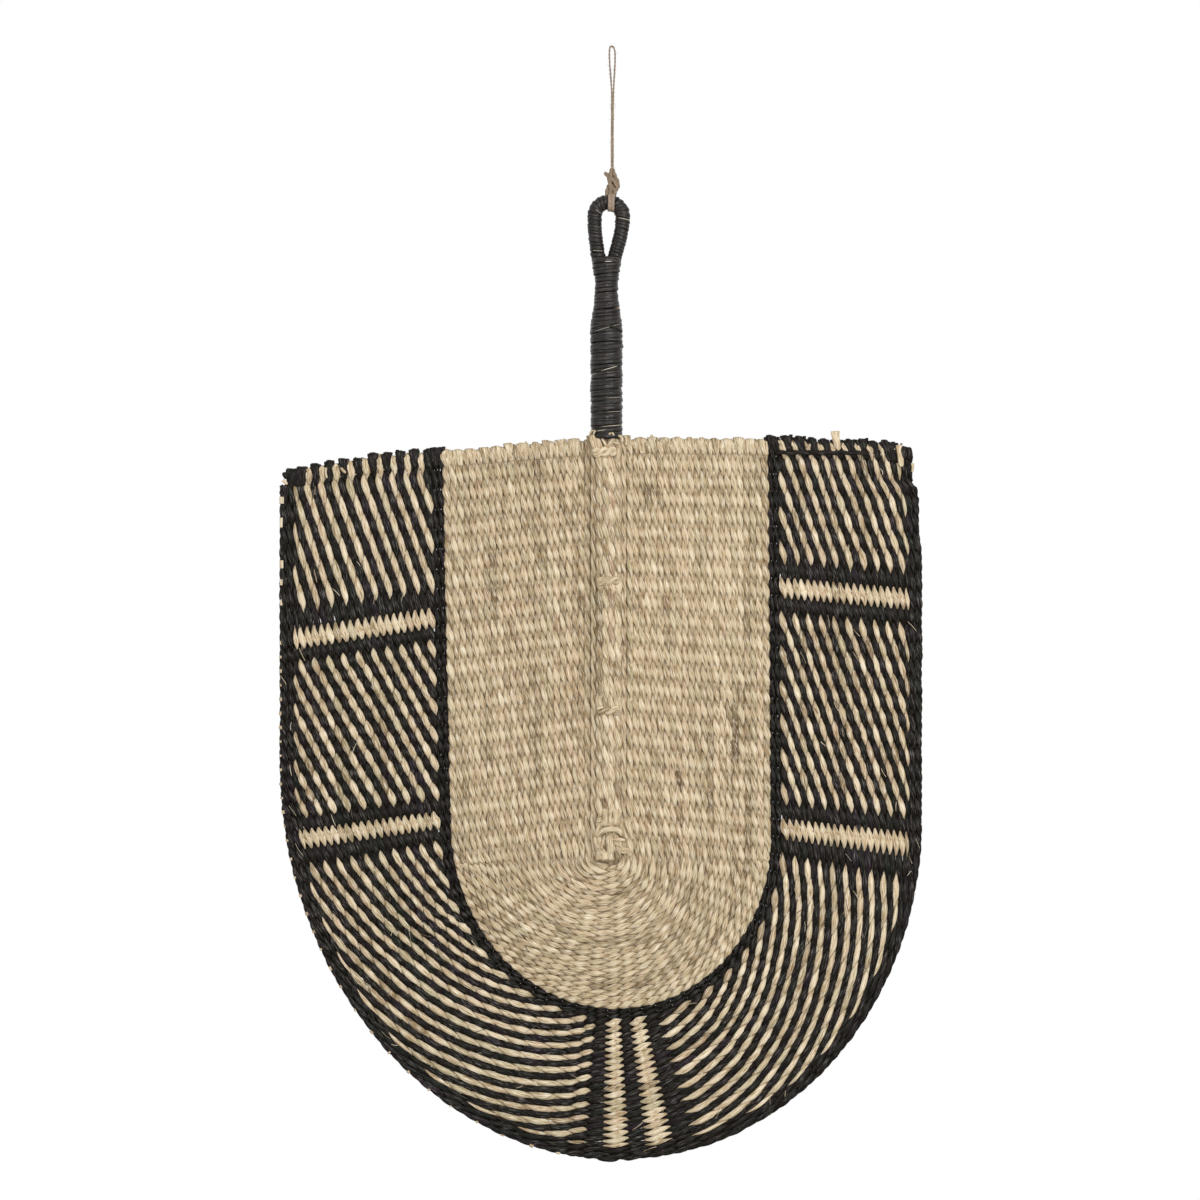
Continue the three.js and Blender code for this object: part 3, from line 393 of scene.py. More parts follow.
class FanWindingSettings(bpy.types.PropertyGroup):
    """Sizes of the windings on the eye and the grip."""

    eye_loops: count("Eye loops", "Turns of the strip round the hanging eye", 20)
    grip_loops: count("Grip loops", "Turns of the strip round the grip", 24)
    blades: count("Blades", "Blades of grass side by side in one strip", 2)
    blade_depth: length("Blade depth", "Half the thickness of one blade of grass", 0.5)
    lap: share("Lap", "How far a blade leans over the one before it, as a slope", 0.22)
    wander: length("Wander", "How far a turn strays along the grip", 0.35)


class FanTwineSettings(bpy.types.PropertyGroup):
    """Sizes of the jute twine."""

    diameter: length("Diameter", "Thickness of the twine", 1.0)
    lay: length("Lay", "Length along the twine in which its plies turn once", 4.2)
    plies: count("Plies", "Yarns that the twine is laid from", 2)
    fuzz: count("Fuzz", "Loose jute fibres on the loop and the knot", 150)


class FanColourSettings(bpy.types.PropertyGroup):
    """Colours of the grass, the twine and the bare wood."""

    straw_stain: colour("Stained straw", "The brown stains", 122, 98, 72)
    straw_dark: colour("Dark straw", "Shaded and older natural grass", 158, 136, 102)
    straw: colour("Straw", "Most natural grass", 218, 197, 163)
    straw_light: colour("Light straw", "Bleached natural grass", 252, 236, 206)
    # Palest fibres: bleached grass, and painted highlights on the brightest flecks
    straw_bleach_and_glint: colour("Bleached straw", "The palest fibres", 255, 246, 226)
    straw_green: colour("Green straw", "Grass cut young", 192, 180, 144)
    straw_pink: colour("Pink straw", "Grass with a reddish cast", 222, 194, 164)
    black: colour("Black", "Dyed grass", 27, 22, 16)
    wrapping: colour("Wrapping", "Dyed grass round the eye and the grip", 33, 26, 20)
    black_purple: colour("Purple black", "Dyed grass with a purple cast", 38, 28, 34)
    black_green: colour("Green black", "Dyed grass with a green cast", 23, 27, 20)
    # Pale flecks on dyed grass: worn fibres, and painted glints of light
    black_worn_and_glints: colour("Worn black", "Fibres that the dye missed or that have worn", 140, 134, 130)
    twine: colour("Twine", "Jute twine", 170, 152, 134)
    twine_olive: colour("Olive twine", "Jute in the knot, darker and greener", 128, 108, 80)
    cane: colour("Cane", "Bare cane and stick", 196, 168, 124)


class FanStageSettings(bpy.types.PropertyGroup):
    """The camera, the lamps and the floor."""

    distance: length("Camera distance", "From the camera to the fan's own plane", 2600)
    frame_width: length("Frame width", "Width of the square picture at the fan", 660)
    centre_x: bpy.props.FloatProperty(
        name="Centre across", description="Middle of the picture", default=-4.7 * MM, unit="LENGTH"
    )
    centre_z: bpy.props.FloatProperty(
        name="Centre up", description="Middle of the picture", default=-304.2 * MM, unit="LENGTH"
    )
    key_power: share("Key lamp", "Power of the large lamp on the right, in watts", 18.0, 500.0)
    fill_power: share("Fill lamp", "Power of the large lamp on the left, in watts", 6.0, 500.0)
    front_power: share("Front lamp", "Power of the small lamp above the camera, in watts", 16.0, 500.0)
    sky: share("Sky", "Strength of the light from all round", 0.34, 5.0)
    floor: colour("Floor", "Plain pale floor", 236, 236, 234)


def unit(vectors):
    """Vectors at length one."""
    return vectors / np.linalg.norm(vectors, axis=-1, keepdims=True)


def add_object(name, data):
    """A new object in the scene."""
    made = bpy.data.objects.new(name, data)
    bpy.context.scene.collection.objects.link(made)
    return made


def smooth(t):
    """A soft step from 0 to 1: three times the square less twice the cube."""
    c = np.clip(t, 0.0, 1.0)
    return c * c * (3 - 2 * c)


def run(points):
    """Distance along a line at each of its points."""
    return np.concatenate([[0.0], np.cumsum(np.linalg.norm(np.diff(points, axis=0), axis=1))])


def follow(distance, along, values):
    """Points or directions of a line at distances along it."""
    return np.stack([np.interp(distance, along, values[:, j]) for j in range(3)], -1)


def resample(points, size):
    """A line through given points as a centripetal spline, at even steps along it.

    Between two points the spline blends the straight lines through each pair of neighbours, with knots
    spaced by the square root of the points' distances.
    """
    p = np.asarray(points, float)
    p = np.concatenate([[2 * p[0] - p[1]], p, [2 * p[-1] - p[-2]]])
    knots = np.concatenate([[0.0], np.cumsum(np.linalg.norm(np.diff(p, axis=0), axis=1) ** 0.5)])
    t = np.linspace(knots[1], knots[-2], SPLINE_STEPS)
    i = np.clip(np.searchsorted(knots, t, side="right") - 1, 1, len(p) - 3)
    k0, k1, k2, k3 = (knots[i + j] for j in (-1, 0, 1, 2))
    p0, p1, p2, p3 = (p[i + j] for j in (-1, 0, 1, 2))

    def blend(a, b, ka, kb):
        w = ((t - ka) / (kb - ka))[:, None]
        return a * (1 - w) + b * w

    a1, a2, a3 = blend(p0, p1, k0, k1), blend(p1, p2, k1, k2), blend(p2, p3, k2, k3)
    line = blend(blend(a1, a2, k0, k2), blend(a2, a3, k1, k3), k1, k2)
    along = run(line)
    return follow(np.linspace(0, along[-1], size), along, line)


def sweep(path, wide, half_width, half_depth, sides=8):
    """Rings carried along a path.

    Each ring is an ellipse in the plane square to the path. Its long axis is the wide direction made
    square to the path, and its short axis the cross product of path and wide.
    """
    ahead = unit(np.gradient(path, axis=0))
    wide = np.broadcast_to(wide, path.shape)
    wide = unit(wide - ahead * np.sum(wide * ahead, axis=1, keepdims=True))
    deep = np.cross(ahead, wide)
    angle = 2 * np.pi * (np.arange(sides) + 0.5) / sides
    width = np.broadcast_to(half_width, len(path))[:, None, None]
    depth = np.broadcast_to(half_depth, len(path))[:, None, None]
    across = wide[:, None] * np.cos(angle)[None, :, None] * width
    through = deep[:, None] * np.sin(angle)[None, :, None] * depth
    return path[:, None] + across + through


def twisted(path, radius, plies, lay, sides=12, start=0.0):
    """Rings of a laid cord.

    Each ring is a circle whose radius dips between the plies by a cosine, and that pattern turns once
    in each lay. A frame that does not spin is carried from ring to ring.
    """
    ahead = unit(np.gradient(path, axis=0))
    first = unit(np.cross(ahead, np.where(np.abs(ahead[:, 1:2]) < 0.9, BACK, ACROSS)))
    second = np.cross(ahead, first)
    angle = 2 * np.pi * np.arange(sides) / sides
    turn = start + 2 * np.pi * run(path) / lay
    lobes = 0.5 + 0.5 * np.cos(plies * (angle[None] - turn[:, None]))
    reach = np.broadcast_to(radius, len(path))[:, None] * (GROOVE + PLY_BULGE * lobes)
    around = first[:, None] * np.cos(angle)[None, :, None] + second[:, None] * np.sin(angle)[None, :, None]
    return path[:, None] + around * reach[..., None]


class Skin:
    """Collects closed tubes and makes one mesh of them, with a UV map and two values at each point.

    The UV map holds metres along a strand and metres round it. Tone runs from dark to light, and tint
    from one cast of colour to the other.
    """

    def __init__(self):
        self.points, self.quads, self.uvs = [], [], []
        self.tones, self.tints, self.ids = [], [], []
        self.size = 0

    def tube(self, rings, tone=0.5, tint=0.5, ids=0, shift=0.0):
        """Adds a tube: each ring joins the next by quads, and strips of quads close both ends."""
        steps, sides, _ = rings.shape
        index = self.size + np.arange(steps * sides).reshape(steps, sides)
        after = np.roll(index, -1, axis=1)
        wall = np.stack([index[:-1], after[:-1], after[1:], index[1:]], -1)
        j = np.arange(sides // 2 - 1)
        strip = np.stack([j, j + 1, sides - 2 - j, sides - 1 - j], -1)
        caps = np.concatenate([index[0][strip[:, ::-1]], index[-1][strip]])
        along = run(rings.mean(axis=1)) + shift * 10
        girth = np.linalg.norm(rings - np.roll(rings, 1, axis=1), axis=2).sum(axis=1).mean()
        side = np.arange(sides)
        u = np.stack([along[:-1], along[:-1], along[1:], along[1:]], -1)[:, None]
        v = (shift + girth * np.stack([side, side + 1, side + 1, side], -1) / sides)[None]
        wall_uv = np.stack([np.broadcast_to(part, (steps - 1, sides, 4)) for part in (u, v)], -1)
        cap_uv = np.stack([np.full(caps.size, along[0]), np.full(caps.size, shift)], -1)
        face_ids = np.broadcast_to(ids, steps - 1)
        self.points.append(rings.reshape(-1, 3))
        self.quads.append(np.concatenate([wall.reshape(-1, 4), caps]))
        self.uvs.append(np.concatenate([wall_uv.reshape(-1, 2), cap_uv]))
        self.ids.append(np.concatenate([
            np.repeat(face_ids, sides), np.full(len(strip), face_ids[0]), np.full(len(strip), face_ids[-1]),
        ]))
        self.tones.append(np.repeat(np.broadcast_to(tone, steps), sides))
        self.tints.append(np.repeat(np.broadcast_to(tint, steps), sides))
        self.size += steps * sides

    def blade(self, rng, line, wide, half_width, half_depth, tone, tint, ids=0, sides=8):
        """Adds a tube of elliptic rings, whose fibres start at a random place."""
        self.tube(sweep(line, wide, half_width, half_depth, sides), tone, tint, ids, shift=rng.random())

    def piece(self, name, materials, body, slot, *nodes):
        """Makes the mesh object, hands it to its body and hides the CAD nodes that it stands for."""
        points = np.concatenate(self.points).astype(np.float32)
        quads = np.concatenate(self.quads).astype(np.int32)
        mesh = bpy.data.meshes.new(name)
        mesh.vertices.add(len(points))
        mesh.vertices.foreach_set("co", points.ravel())
        mesh.loops.add(quads.size)
        mesh.loops.foreach_set("vertex_index", quads.ravel())
        mesh.polygons.add(len(quads))
        mesh.polygons.foreach_set("loop_start", np.arange(0, quads.size, 4, dtype=np.int32))
        mesh.polygons.foreach_set("material_index", np.concatenate(self.ids).astype(np.int32))
        mesh.update(calc_edges=True)
        mesh.polygons.foreach_set("use_smooth", np.ones(len(quads), dtype=bool))
        uv_map = mesh.uv_layers.new(name="strand")
        uv_map.data.foreach_set("uv", np.concatenate(self.uvs).astype(np.float32).ravel())
        for attribute, values in (("tone", self.tones), ("tint", self.tints)):
            layer = mesh.attributes.new(attribute, "FLOAT", "POINT")
            layer.data.foreach_set("value", np.concatenate(values).astype(np.float32))
        for material in materials:
            mesh.materials.append(material)
        made = add_object(name, mesh)
        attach(made, body)
        if nodes:
            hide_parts(*nodes)
        return made


# Materials


def feed(tree, entry, given):
    """Links an input to a socket, or sets it to a value; a colour of three values is made opaque."""
    if isinstance(given, bpy.types.NodeSocket):
        tree.links.new(given, entry)
    else:
        opaque = entry.type == "RGBA" and len(given) == 3
        entry.default_value = (*given, 1.0) if opaque else given


def add_node(tree, kind, values=(), **settings):
    """A new node with its settings, and a socket or a value for each of its named or numbered inputs."""
    node = tree.nodes.new(kind)
    for key, value in settings.items():
        setattr(node, key, value)
    for key, value in values:
        feed(tree, node.inputs[key], value)
    return node


def add_math(tree, operation, first, second):
    """A sum, product or the like of two numbers."""
    return add_node(tree, "ShaderNodeMath", ((0, first), (1, second)), operation=operation).outputs["Value"]


def add_product(tree, first, second):
    """The product of two vectors, part by part."""
    values = ((0, first), (1, second))
    return add_node(tree, "ShaderNodeVectorMath", values, operation="MULTIPLY").outputs["Vector"]


def add_noise(tree, vector, scale, detail, dimensions="3D"):
    """A noise from 0 to 1."""
    values = (("Vector", vector), ("Scale", scale), ("Detail", detail))
    return add_node(tree, "ShaderNodeTexNoise", values, noise_dimensions=dimensions).outputs["Fac"]


def fibre_group():
    """The grass fibres, as a node group: streaks along a strand that vary in shade and in height.

    A stretched noise gives broad fibres and a finer one gives the lines between them. Streak is the
    shade, Lines the height, and Fleck picks out the brightest fibres.
    """
    found = bpy.data.node_groups.get("grass_fibres")
    if found:
        return found
    group = bpy.data.node_groups.new("grass_fibres", "ShaderNodeTree")
    group.interface.new_socket("Vector", in_out="INPUT", socket_type="NodeSocketVector")
    for name, value in (("Along", 90.0), ("Across", 1500.0), ("Fleck level", 0.66)):
        group.interface.new_socket(name, in_out="INPUT", socket_type="NodeSocketFloat").default_value = value
    for name in ("Streak", "Lines", "Fleck"):
        group.interface.new_socket(name, in_out="OUTPUT", socket_type="NodeSocketFloat")
    given = add_node(group, "NodeGroupInput").outputs
    stretch = (("X", given["Along"]), ("Y", given["Across"]), ("Z", 1.0))
    scale = add_node(group, "ShaderNodeCombineXYZ", stretch).outputs["Vector"]
    stretched = add_product(group, given["Vector"], scale)
    broad = add_noise(group, stretched, 1.0, 2.0, "2D")
    thin = add_noise(group, add_product(group, stretched, (2.3, 2.7, 1.0)), 1.0, 1.0, "2D")
    streak = add_math(group, "MULTIPLY", add_math(group, "ADD", broad, thin), 0.5)
    above = add_math(group, "ADD", given["Fleck level"], 0.07)
    fleck = add_range(group, thin, given["Fleck level"], above, 0.0, 1.0)
    add_node(group, "NodeGroupOutput", (("Streak", streak), ("Lines", broad), ("Fleck", fleck)))
    return group


def new_material(name, specular):
    """A material, its node tree and its Principled shader with the strength of its gloss."""
    material = bpy.data.materials.new(name)
    material.use_nodes = True
    shader = material.node_tree.nodes["Principled BSDF"]
    shader.inputs["Specular IOR Level"].default_value = specular
    return material, material.node_tree, shader


def dress(tree, shader, shade, roughness, height=0.0, distance=0.0):
    """Feeds a shader its colour and its roughness, and a bump where there is a distance for it."""
    feed(tree, shader.inputs["Base Color"], shade)
    feed(tree, shader.inputs["Roughness"], roughness)
    if distance:
        values = (("Height", height), ("Distance", distance), ("Strength", 1.0))
        feed(tree, shader.inputs["Normal"], add_node(tree, "ShaderNodeBump", values).outputs["Normal"])


def strand_values(tree):
    """What a strand's mesh says at each point: its UV map, its tone and its tint."""
    uv = add_node(tree, "ShaderNodeUVMap", uv_map="strand")
    tone, tint = (add_node(tree, "ShaderNodeAttribute", attribute_name=name) for name in ("tone", "tint"))
    return uv.outputs["UV"], tone.outputs["Fac"], tint.outputs["Fac"]


def add_fibres(tree, vector, along, across, fleck_level):
    """The outputs of the fibre group, placed in a material with its own values."""
    values = (("Vector", vector), ("Along", along), ("Across", across), ("Fleck level", fleck_level))
    return add_node(tree, "ShaderNodeGroup", values, node_tree=fibre_group()).outputs


def add_mix(tree, blend, factor, first, second):
    """A colour mix; each of its three inputs is a socket or a value."""
    values = (("Factor", factor), (6, first), (7, second))
    return add_node(tree, "ShaderNodeMix", values, data_type="RGBA", blend_type=blend).outputs[2]


def add_ramp(tree, value, stops):
    """A colour ramp through the stops, each a place from 0 to 1 and a colour."""
    ramp = add_node(tree, "ShaderNodeValToRGB", (("Fac", value),))
    elements = ramp.color_ramp.elements
    elements[0].position, elements[1].position = stops[0][0], stops[-1][0]
    elements[0].color, elements[1].color = (*stops[0][1], 1.0), (*stops[-1][1], 1.0)
    for place, shade in stops[1:-1]:
        elements.new(place).color = (*shade, 1.0)
    return ramp.outputs["Color"]


def add_range(tree, value, low, high, to_low, to_high):
    """A value moved from one range to another."""
    ends = (("From Min", low), ("From Max", high), ("To Min", to_low), ("To Max", to_high))
    return add_node(tree, "ShaderNodeMapRange", (("Value", value), *ends)).outputs["Result"]


def straw_material(name, colours, along=80.0, across=1300.0, faded=0.0):
    """Natural dried grass: tone picks the shade, tint the cast, and the fibres streak it."""
    material, tree, shader = new_material(name, 0.28)
    uv, tone, tint = strand_values(tree)
    fibres = add_fibres(tree, uv, along, across, 0.58)
    stain, dark, light = colours.straw_stain, colours.straw_dark, colours.straw_light
    # Darker tones: the grass's own variation, the stains, and the painted shade at the stitch tips
    shade = add_ramp(tree, tone, ((0.0, stain), (0.2, dark), (0.5, colours.straw), (1.0, light)))
    shade = add_mix(tree, "MIX", add_range(tree, tint, 0.45, 0.05, 0.0, 0.75), shade, colours.straw_green)
    shade = add_mix(tree, "MIX", add_range(tree, tint, 0.6, 1.0, 0.0, 0.6), shade, colours.straw_pink)
    streak = add_ramp(tree, fibres["Streak"], (
        (0.33, (0.42, 0.34, 0.23)), (0.46, (0.86, 0.82, 0.75)), (0.56, (1.0, 1.0, 1.0)),
    ))
    shade = add_mix(tree, "MULTIPLY", 1.0, shade, streak)
    # Pale mixes: the faded share for bleached grass, then the brightest flecks, partly bleached and partly
    # painted highlights
    for bleach_and_glint in (faded, add_math(tree, "MULTIPLY", fibres["Fleck"], 0.6)):
        shade = add_mix(tree, "MIX", bleach_and_glint, shade, colours.straw_bleach_and_glint)
    roughness = add_range(tree, fibres["Streak"], 0.3, 0.7, 0.72, 0.5)
    dress(tree, shader, shade, roughness, fibres["Lines"], 0.35 * MM)
    return material


def black_material(name, colours, base, roughness, worn_and_glints, specular, along=80.0, across=1300.0):
    """Dyed black grass: a purple and a green cast by tint, and pale flecks on some fibres, partly worn fibres
    and partly painted glints.
    """
    material, tree, shader = new_material(name, specular)
    uv, tone, tint = strand_values(tree)
    fibres = add_fibres(tree, uv, along, across, 0.61)
    shade = add_ramp(tree, tint, (
        (0.1, colours.black_green), (0.4, base), (0.6, base), (0.9, colours.black_purple),
    ))
    depth = add_ramp(tree, fibres["Streak"], ((0.34, (0.35, 0.33, 0.32)), (0.62, (1.0, 1.0, 1.0))))
    shade = add_mix(tree, "MULTIPLY", 1.0, shade, depth)
    # Pale flecks: partly worn fibres, partly painted glints that stand in for highlights on the black grass
    faint = add_math(tree, "MULTIPLY", fibres["Fleck"], add_range(tree, tone, 0.3, 1.0, 0.12, worn_and_glints))
    shade = add_mix(tree, "MIX", faint, shade, colours.black_worn_and_glints)
    gloss = add_range(tree, fibres["Streak"], 0.3, 0.7, roughness + 0.12, roughness - 0.08)
    dress(tree, shader, shade, gloss, fibres["Lines"], 0.35 * MM)
    return material


def dark_to_light(colour, darker, lighter):
    """A colour with a darker and a lighter one on either side of it."""
    return tuple(darker * c for c in colour), tuple(colour), tuple(min(1.0, lighter * c) for c in colour)


def jute_material(colours):
    """Jute twine: short twisted fibres, darker in the grooves."""
    material, tree, shader = new_material("laid_jute", 0.15)
    uv, tone, tint = strand_values(tree)
    slant = (0.0, 0.0, math.radians(28))
    slanted = add_node(tree, "ShaderNodeMapping", (("Vector", uv), ("Rotation", slant)))
    fibres = add_fibres(tree, slanted.outputs["Vector"], 260.0, 3200.0, 0.6)
    shades = dark_to_light(colours.twine, 0.5, 1.45)
    shade = add_ramp(tree, fibres["Streak"], list(zip((0.32, 0.5, 0.68), shades)))
    lift = add_ramp(tree, tone, ((0.0, (0.62, 0.6, 0.58)), (1.0, (1.15, 1.12, 1.1))))
    shade = add_mix(tree, "MULTIPLY", 1.0, shade, lift)
    shade = add_mix(tree, "MIX", add_range(tree, tint, 0.6, 1.0, 0.0, 0.6), shade, colours.twine_olive)
    dress(tree, shader, shade, 0.85, fibres["Lines"], 0.25 * MM)
    return material


def wood_material(colours):
    """Bare cane or stick: grain along its length, read from Object coordinates."""
    material, tree, shader = new_material("bare_wood", 0.35)
    place = add_node(tree, "ShaderNodeTexCoord").outputs["Object"]
    stretch = add_node(tree, "ShaderNodeMapping", (("Vector", place), ("Scale", (900.0, 900.0, 25.0))))
    grain = add_noise(tree, stretch.outputs["Vector"], 1.0, 3.0)
    shade = add_ramp(tree, grain, list(zip((0.3, 0.5, 0.7), dark_to_light(colours.cane, 0.55, 1.2))))
    dress(tree, shader, shade, 0.55, grain, 0.2 * MM)
    return material


def finish(name):
    """The material of that name, made the first time it is asked for."""
    found = bpy.data.materials.get(name)
    if found:
        return found
    colours = bpy.context.scene.fan_colours
    if name == "laid_jute":
        return jute_material(colours)
    if name == "bare_wood":
        return wood_material(colours)
    if name == "black_grass":
        return black_material(name, colours, colours.black, 0.45, 0.62, 0.13)
    if name == "wrapping_grass":
        return black_material(name, colours, colours.wrapping, 0.3, 0.4, 0.32, 60.0, 1500.0)
    kinds = {"natural_grass": (), "faded_grass": (80.0, 1300.0, 0.75), "bare_stalk": (40.0, 2200.0)}
    return straw_material(name, colours, *kinds[name])


# Shapes of the blade


def row_point(row, place):
    """A point of a row's line in the fan's plane.

    Place runs from 0 to 1 down the left leg, to 2 and 3 through two quarter ellipses that meet at the
    foot, and to 4 up the right leg. The legs are straight, from the top edge to where the turn starts.
    """
    x, z = np.zeros_like(place), np.zeros_like(place)
    row = np.interp(row, *ROW_SHIFTS)
    for side in (-1, 1):
        mask = (place < 2) if side < 0 else (place >= 2)
        fold = np.where(side < 0, place, 4 - place)[mask]
        out, lean, turn = (np.interp(row, ROW_ANCHORS, v[side]) for v in (OUT, LEAN, TURN))
        foot, shift = np.interp(row, ROW_ANCHORS, FOOT), np.interp(row, ROW_ANCHORS, SHIFT)
        corner = CORNER_DROP[side] * max(0.0, row - (ROWS - 1)) + np.interp(row, *TOP_DROP[side])
        angle = np.pi / 2 * np.clip(fold - 1, 0, 1)
        leg = np.clip(fold, 0, 1)
        top_x, top_depth = out + lean, DROOP[side] * (out + lean) + corner
        leg_x, leg_depth = top_x + (out - top_x) * leg, top_depth + (turn - top_depth) * leg
        if side > 0:
            near_rim = np.clip((row - DRAWN_ROWS[0]) / DRAWN_ROWS[1], 0, 1)
            leg_x = leg_x - np.interp(leg_depth, *DRAWN_IN) * near_rim
        x[mask] = (side * np.where(fold < 1, leg_x, out * np.cos(angle)) + shift * np.sin(angle)) * MM
        z[mask] = BLADE_TOP - np.where(fold < 1, leg_depth, turn + (foot - turn) * np.sin(angle)) * MM
    return x, z


def row_path(row):
    """A row's middle line: its points, its outward directions, the row's width there, and the run."""
    place = np.linspace(0, 4, 2 * HALF_STEPS + 1)
    x, z = row_point(row + 0.5, place)
    inner_x, inner_z = row_point(row, place)
    outer_x, outer_z = row_point(min(row + 1, ROWS), place)
    points = np.stack([x, np.full_like(x, MID_Y), z], -1)
    ahead = unit(np.gradient(points, axis=0))
    outward = np.stack([ahead[:, 2], np.zeros_like(x), -ahead[:, 0]], -1)
    width = (outer_x - inner_x) * outward[:, 0] + (outer_z - inner_z) * outward[:, 2]
    return points, outward, width, run(points)


def panel_lines(row, side):
    """The panel's stakes and spokes on one side: depth on the axis in millimetres, and slope in radians."""
    share_down = np.arange(PANEL_STAKES) / (PANEL_STAKES - 1)
    depth = FIRST_STAKE + (LAST_STAKE - FIRST_STAKE) * share_down
    slope = np.arctan(DROOP[side] + (LAST_SLOPE[side] - DROOP[side]) * share_down)
    spokes = [number for first, number in SPOKE_TIERS if row >= first][-1]
    turned = -SPOKE_REACH + 2 * SPOKE_REACH * np.arange(1, spokes + 1) / (spokes + 1)
    turned = turned[turned < 0] if side < 0 else -turned[turned >= 0][::-1]
    return (np.concatenate([depth, np.full(len(turned), HUB_DEPTH)]),
            np.concatenate([slope, np.radians(90 + turned)]))


def zone_lines(side):
    """The striped zone's stakes and spokes on one side, like the panel's.

    A spoke's start slides from its last stake's depth to the hub over some spokes, and its slope makes it
    pass through its measured angle at the fan's radius.
    """
    numbers, depths, slopes = ZONE_LEGS[side]
    number = np.arange(ZONE_STAKES)
    turned = np.interp(number, FAN_NUMBERS, FAN_ANGLES)
    mine = number[turned < 0] if side < 0 else number[turned >= 0][::-1]
    order = mine if side < 0 else ZONE_STAKES - 1 - mine
    last = numbers[-1]
    depth = np.interp(order, (*numbers, last + HUB_SPOKES), (*depths, HUB_DEPTH))
    angle = np.radians(np.abs(turned[mine]))
    down = HUB_DEPTH + FAN_RADIUS * np.cos(angle) - depth
    fan_slope = np.arctan2(down, FAN_RADIUS * np.sin(angle))
    leg_slope = np.arctan(np.interp(order, numbers, slopes))
    return depth, np.where(order < last, leg_slope, fan_slope)


def crossings(path, row, side):
    """How far along a row each line of one side is crossed.

    The signed distance from the row's points to a line changes from above to below once, and the place
    between the two samples comes from their two distances.
    """
    points, _, _, along = path
    in_panel = row < BORDER_ROWS[0]
    depth, slope = panel_lines(row, side) if in_panel else zone_lines(side)
    half = slice(0, HALF_STEPS + 1) if side < 0 else slice(2 * HALF_STEPS, HALF_STEPS - 1, -1)
    x, z, s = side * points[half, 0] / MM, points[half, 2], along[half]
    below = (BLADE_TOP - z) / MM
    start = side * HUB_X * (depth / HUB_DEPTH if in_panel else 0 * depth)
    signed = (below[:, None] - depth) * np.cos(slope) - (x[:, None] - start) * np.sin(slope)
    past = np.where((signed > 0).any(axis=0), np.argmax(signed > 0, axis=0), len(s) - 1)
    past = np.clip(past, 1, len(s) - 1)
    column = np.arange(len(depth))
    before, after = signed[past - 1, column], signed[past, column]
    return s[past - 1] + (s[past] - s[past - 1]) * np.clip(before / (before - after), 0, 1)


def stakes_on(path, row):
    """Distances along a row at which it crosses its stakes and spokes, from the left top to the right."""
    left, right = crossings(path, row, -1), crossings(path, row, 1)
    return np.concatenate([left, right[::-1]])


def at(path, distance):
    """The path's point, outward direction and width at distances along it."""
    points, outward, width, along = path
    point, away = (follow(distance, along, values) for values in (points, outward))
    return point, unit(away), np.interp(distance, along, width)


def front_is_black(row, stake):
    """Whether the stitch in front of a stake is black: bands first, then turn and turn about."""
    if row < BORDER_ROWS[0]:
        return np.zeros(stake.shape, bool)
    if row in BORDER_ROWS or row in RIM_ROWS:
        return np.ones(stake.shape, bool)
    dark = (np.maximum(stake, 1) + row) % 2 == 1
    return np.where(np.isin(stake, DARK_BANDS), True, np.where(np.isin(stake, LIGHT_BANDS), False, dark))


def stained(points):
    """How strongly the brown stains reach each point: a bell curve that is taller than wide."""
    reach = np.zeros(len(points))
    for x, z, half in STAINS:
        across, down = (points[:, 0] - x * MM) / (STAIN_HALF * MM), (points[:, 2] - z * MM) / (half * MM)
        reach = np.maximum(reach, np.exp(-across ** 2 - down ** 2))
    return reach


def grass_tones(rng, distance, stake, spread=ZONE_SPREAD):
    """Tone and tint along a strand: slow changes, and a small step at each stitch."""
    knots = np.arange(0.0, distance.max() + 0.2, TONE_SPACING)
    slow_tone, slow_tint = rng.normal(0, 1, (2, len(knots)))
    steps = rng.normal(0, 1, (2, stake.max() + 2))
    tone = 0.5 + spread * np.interp(distance, knots, slow_tone) + TONE_STEP * steps[0][stake]
    tint = 0.5 + TINT_SPREAD * np.interp(distance, knots, slow_tint) + TINT_STEP * steps[1][stake]
    return tone, tint


def stitches(t, e, tip):
    """A strand's place in depth, how wide open it is, and how far aside it stands.

    With t the stake number along the row and e the strand, its depth follows the cosine of pi(t + e) and
    its place across the row minus the sine. From a tip's reach before the middle between two stakes the
    strand narrows evenly, and it opens again in the same way, so that it shows as a pointed stitch.
    """
    wave = np.pi * (t + e)
    wide_open = np.clip(np.abs(t - np.floor(t) - 0.5) / tip, 0, 1)
    return np.cos(wave), wide_open, -np.sin(wave)


def from_stakes(t, stakes):
    """How far each place along a row is from the nearest of these stakes, in stakes."""
    return np.abs(t[:, None] - np.array(stakes)).min(axis=1)


def strand_colours(row, e, t):
    """Whether a strand is black at each place of a row: the change from stitch to stitch is hidden behind."""
    before = np.floor(t).astype(int)
    leaving = (before + e) % 2 == 0
    stake = before + (t - before >= np.where(leaving, 0.75, 0.25))
    front = front_is_black(row, np.clip(stake, 0, ZONE_STAKES - 1))
    if row <= BORDER_ROWS[1] or row >= RIM_ROWS[0]:
        return front
    return np.where((stake + e) % 2 == 0, front, ~front)


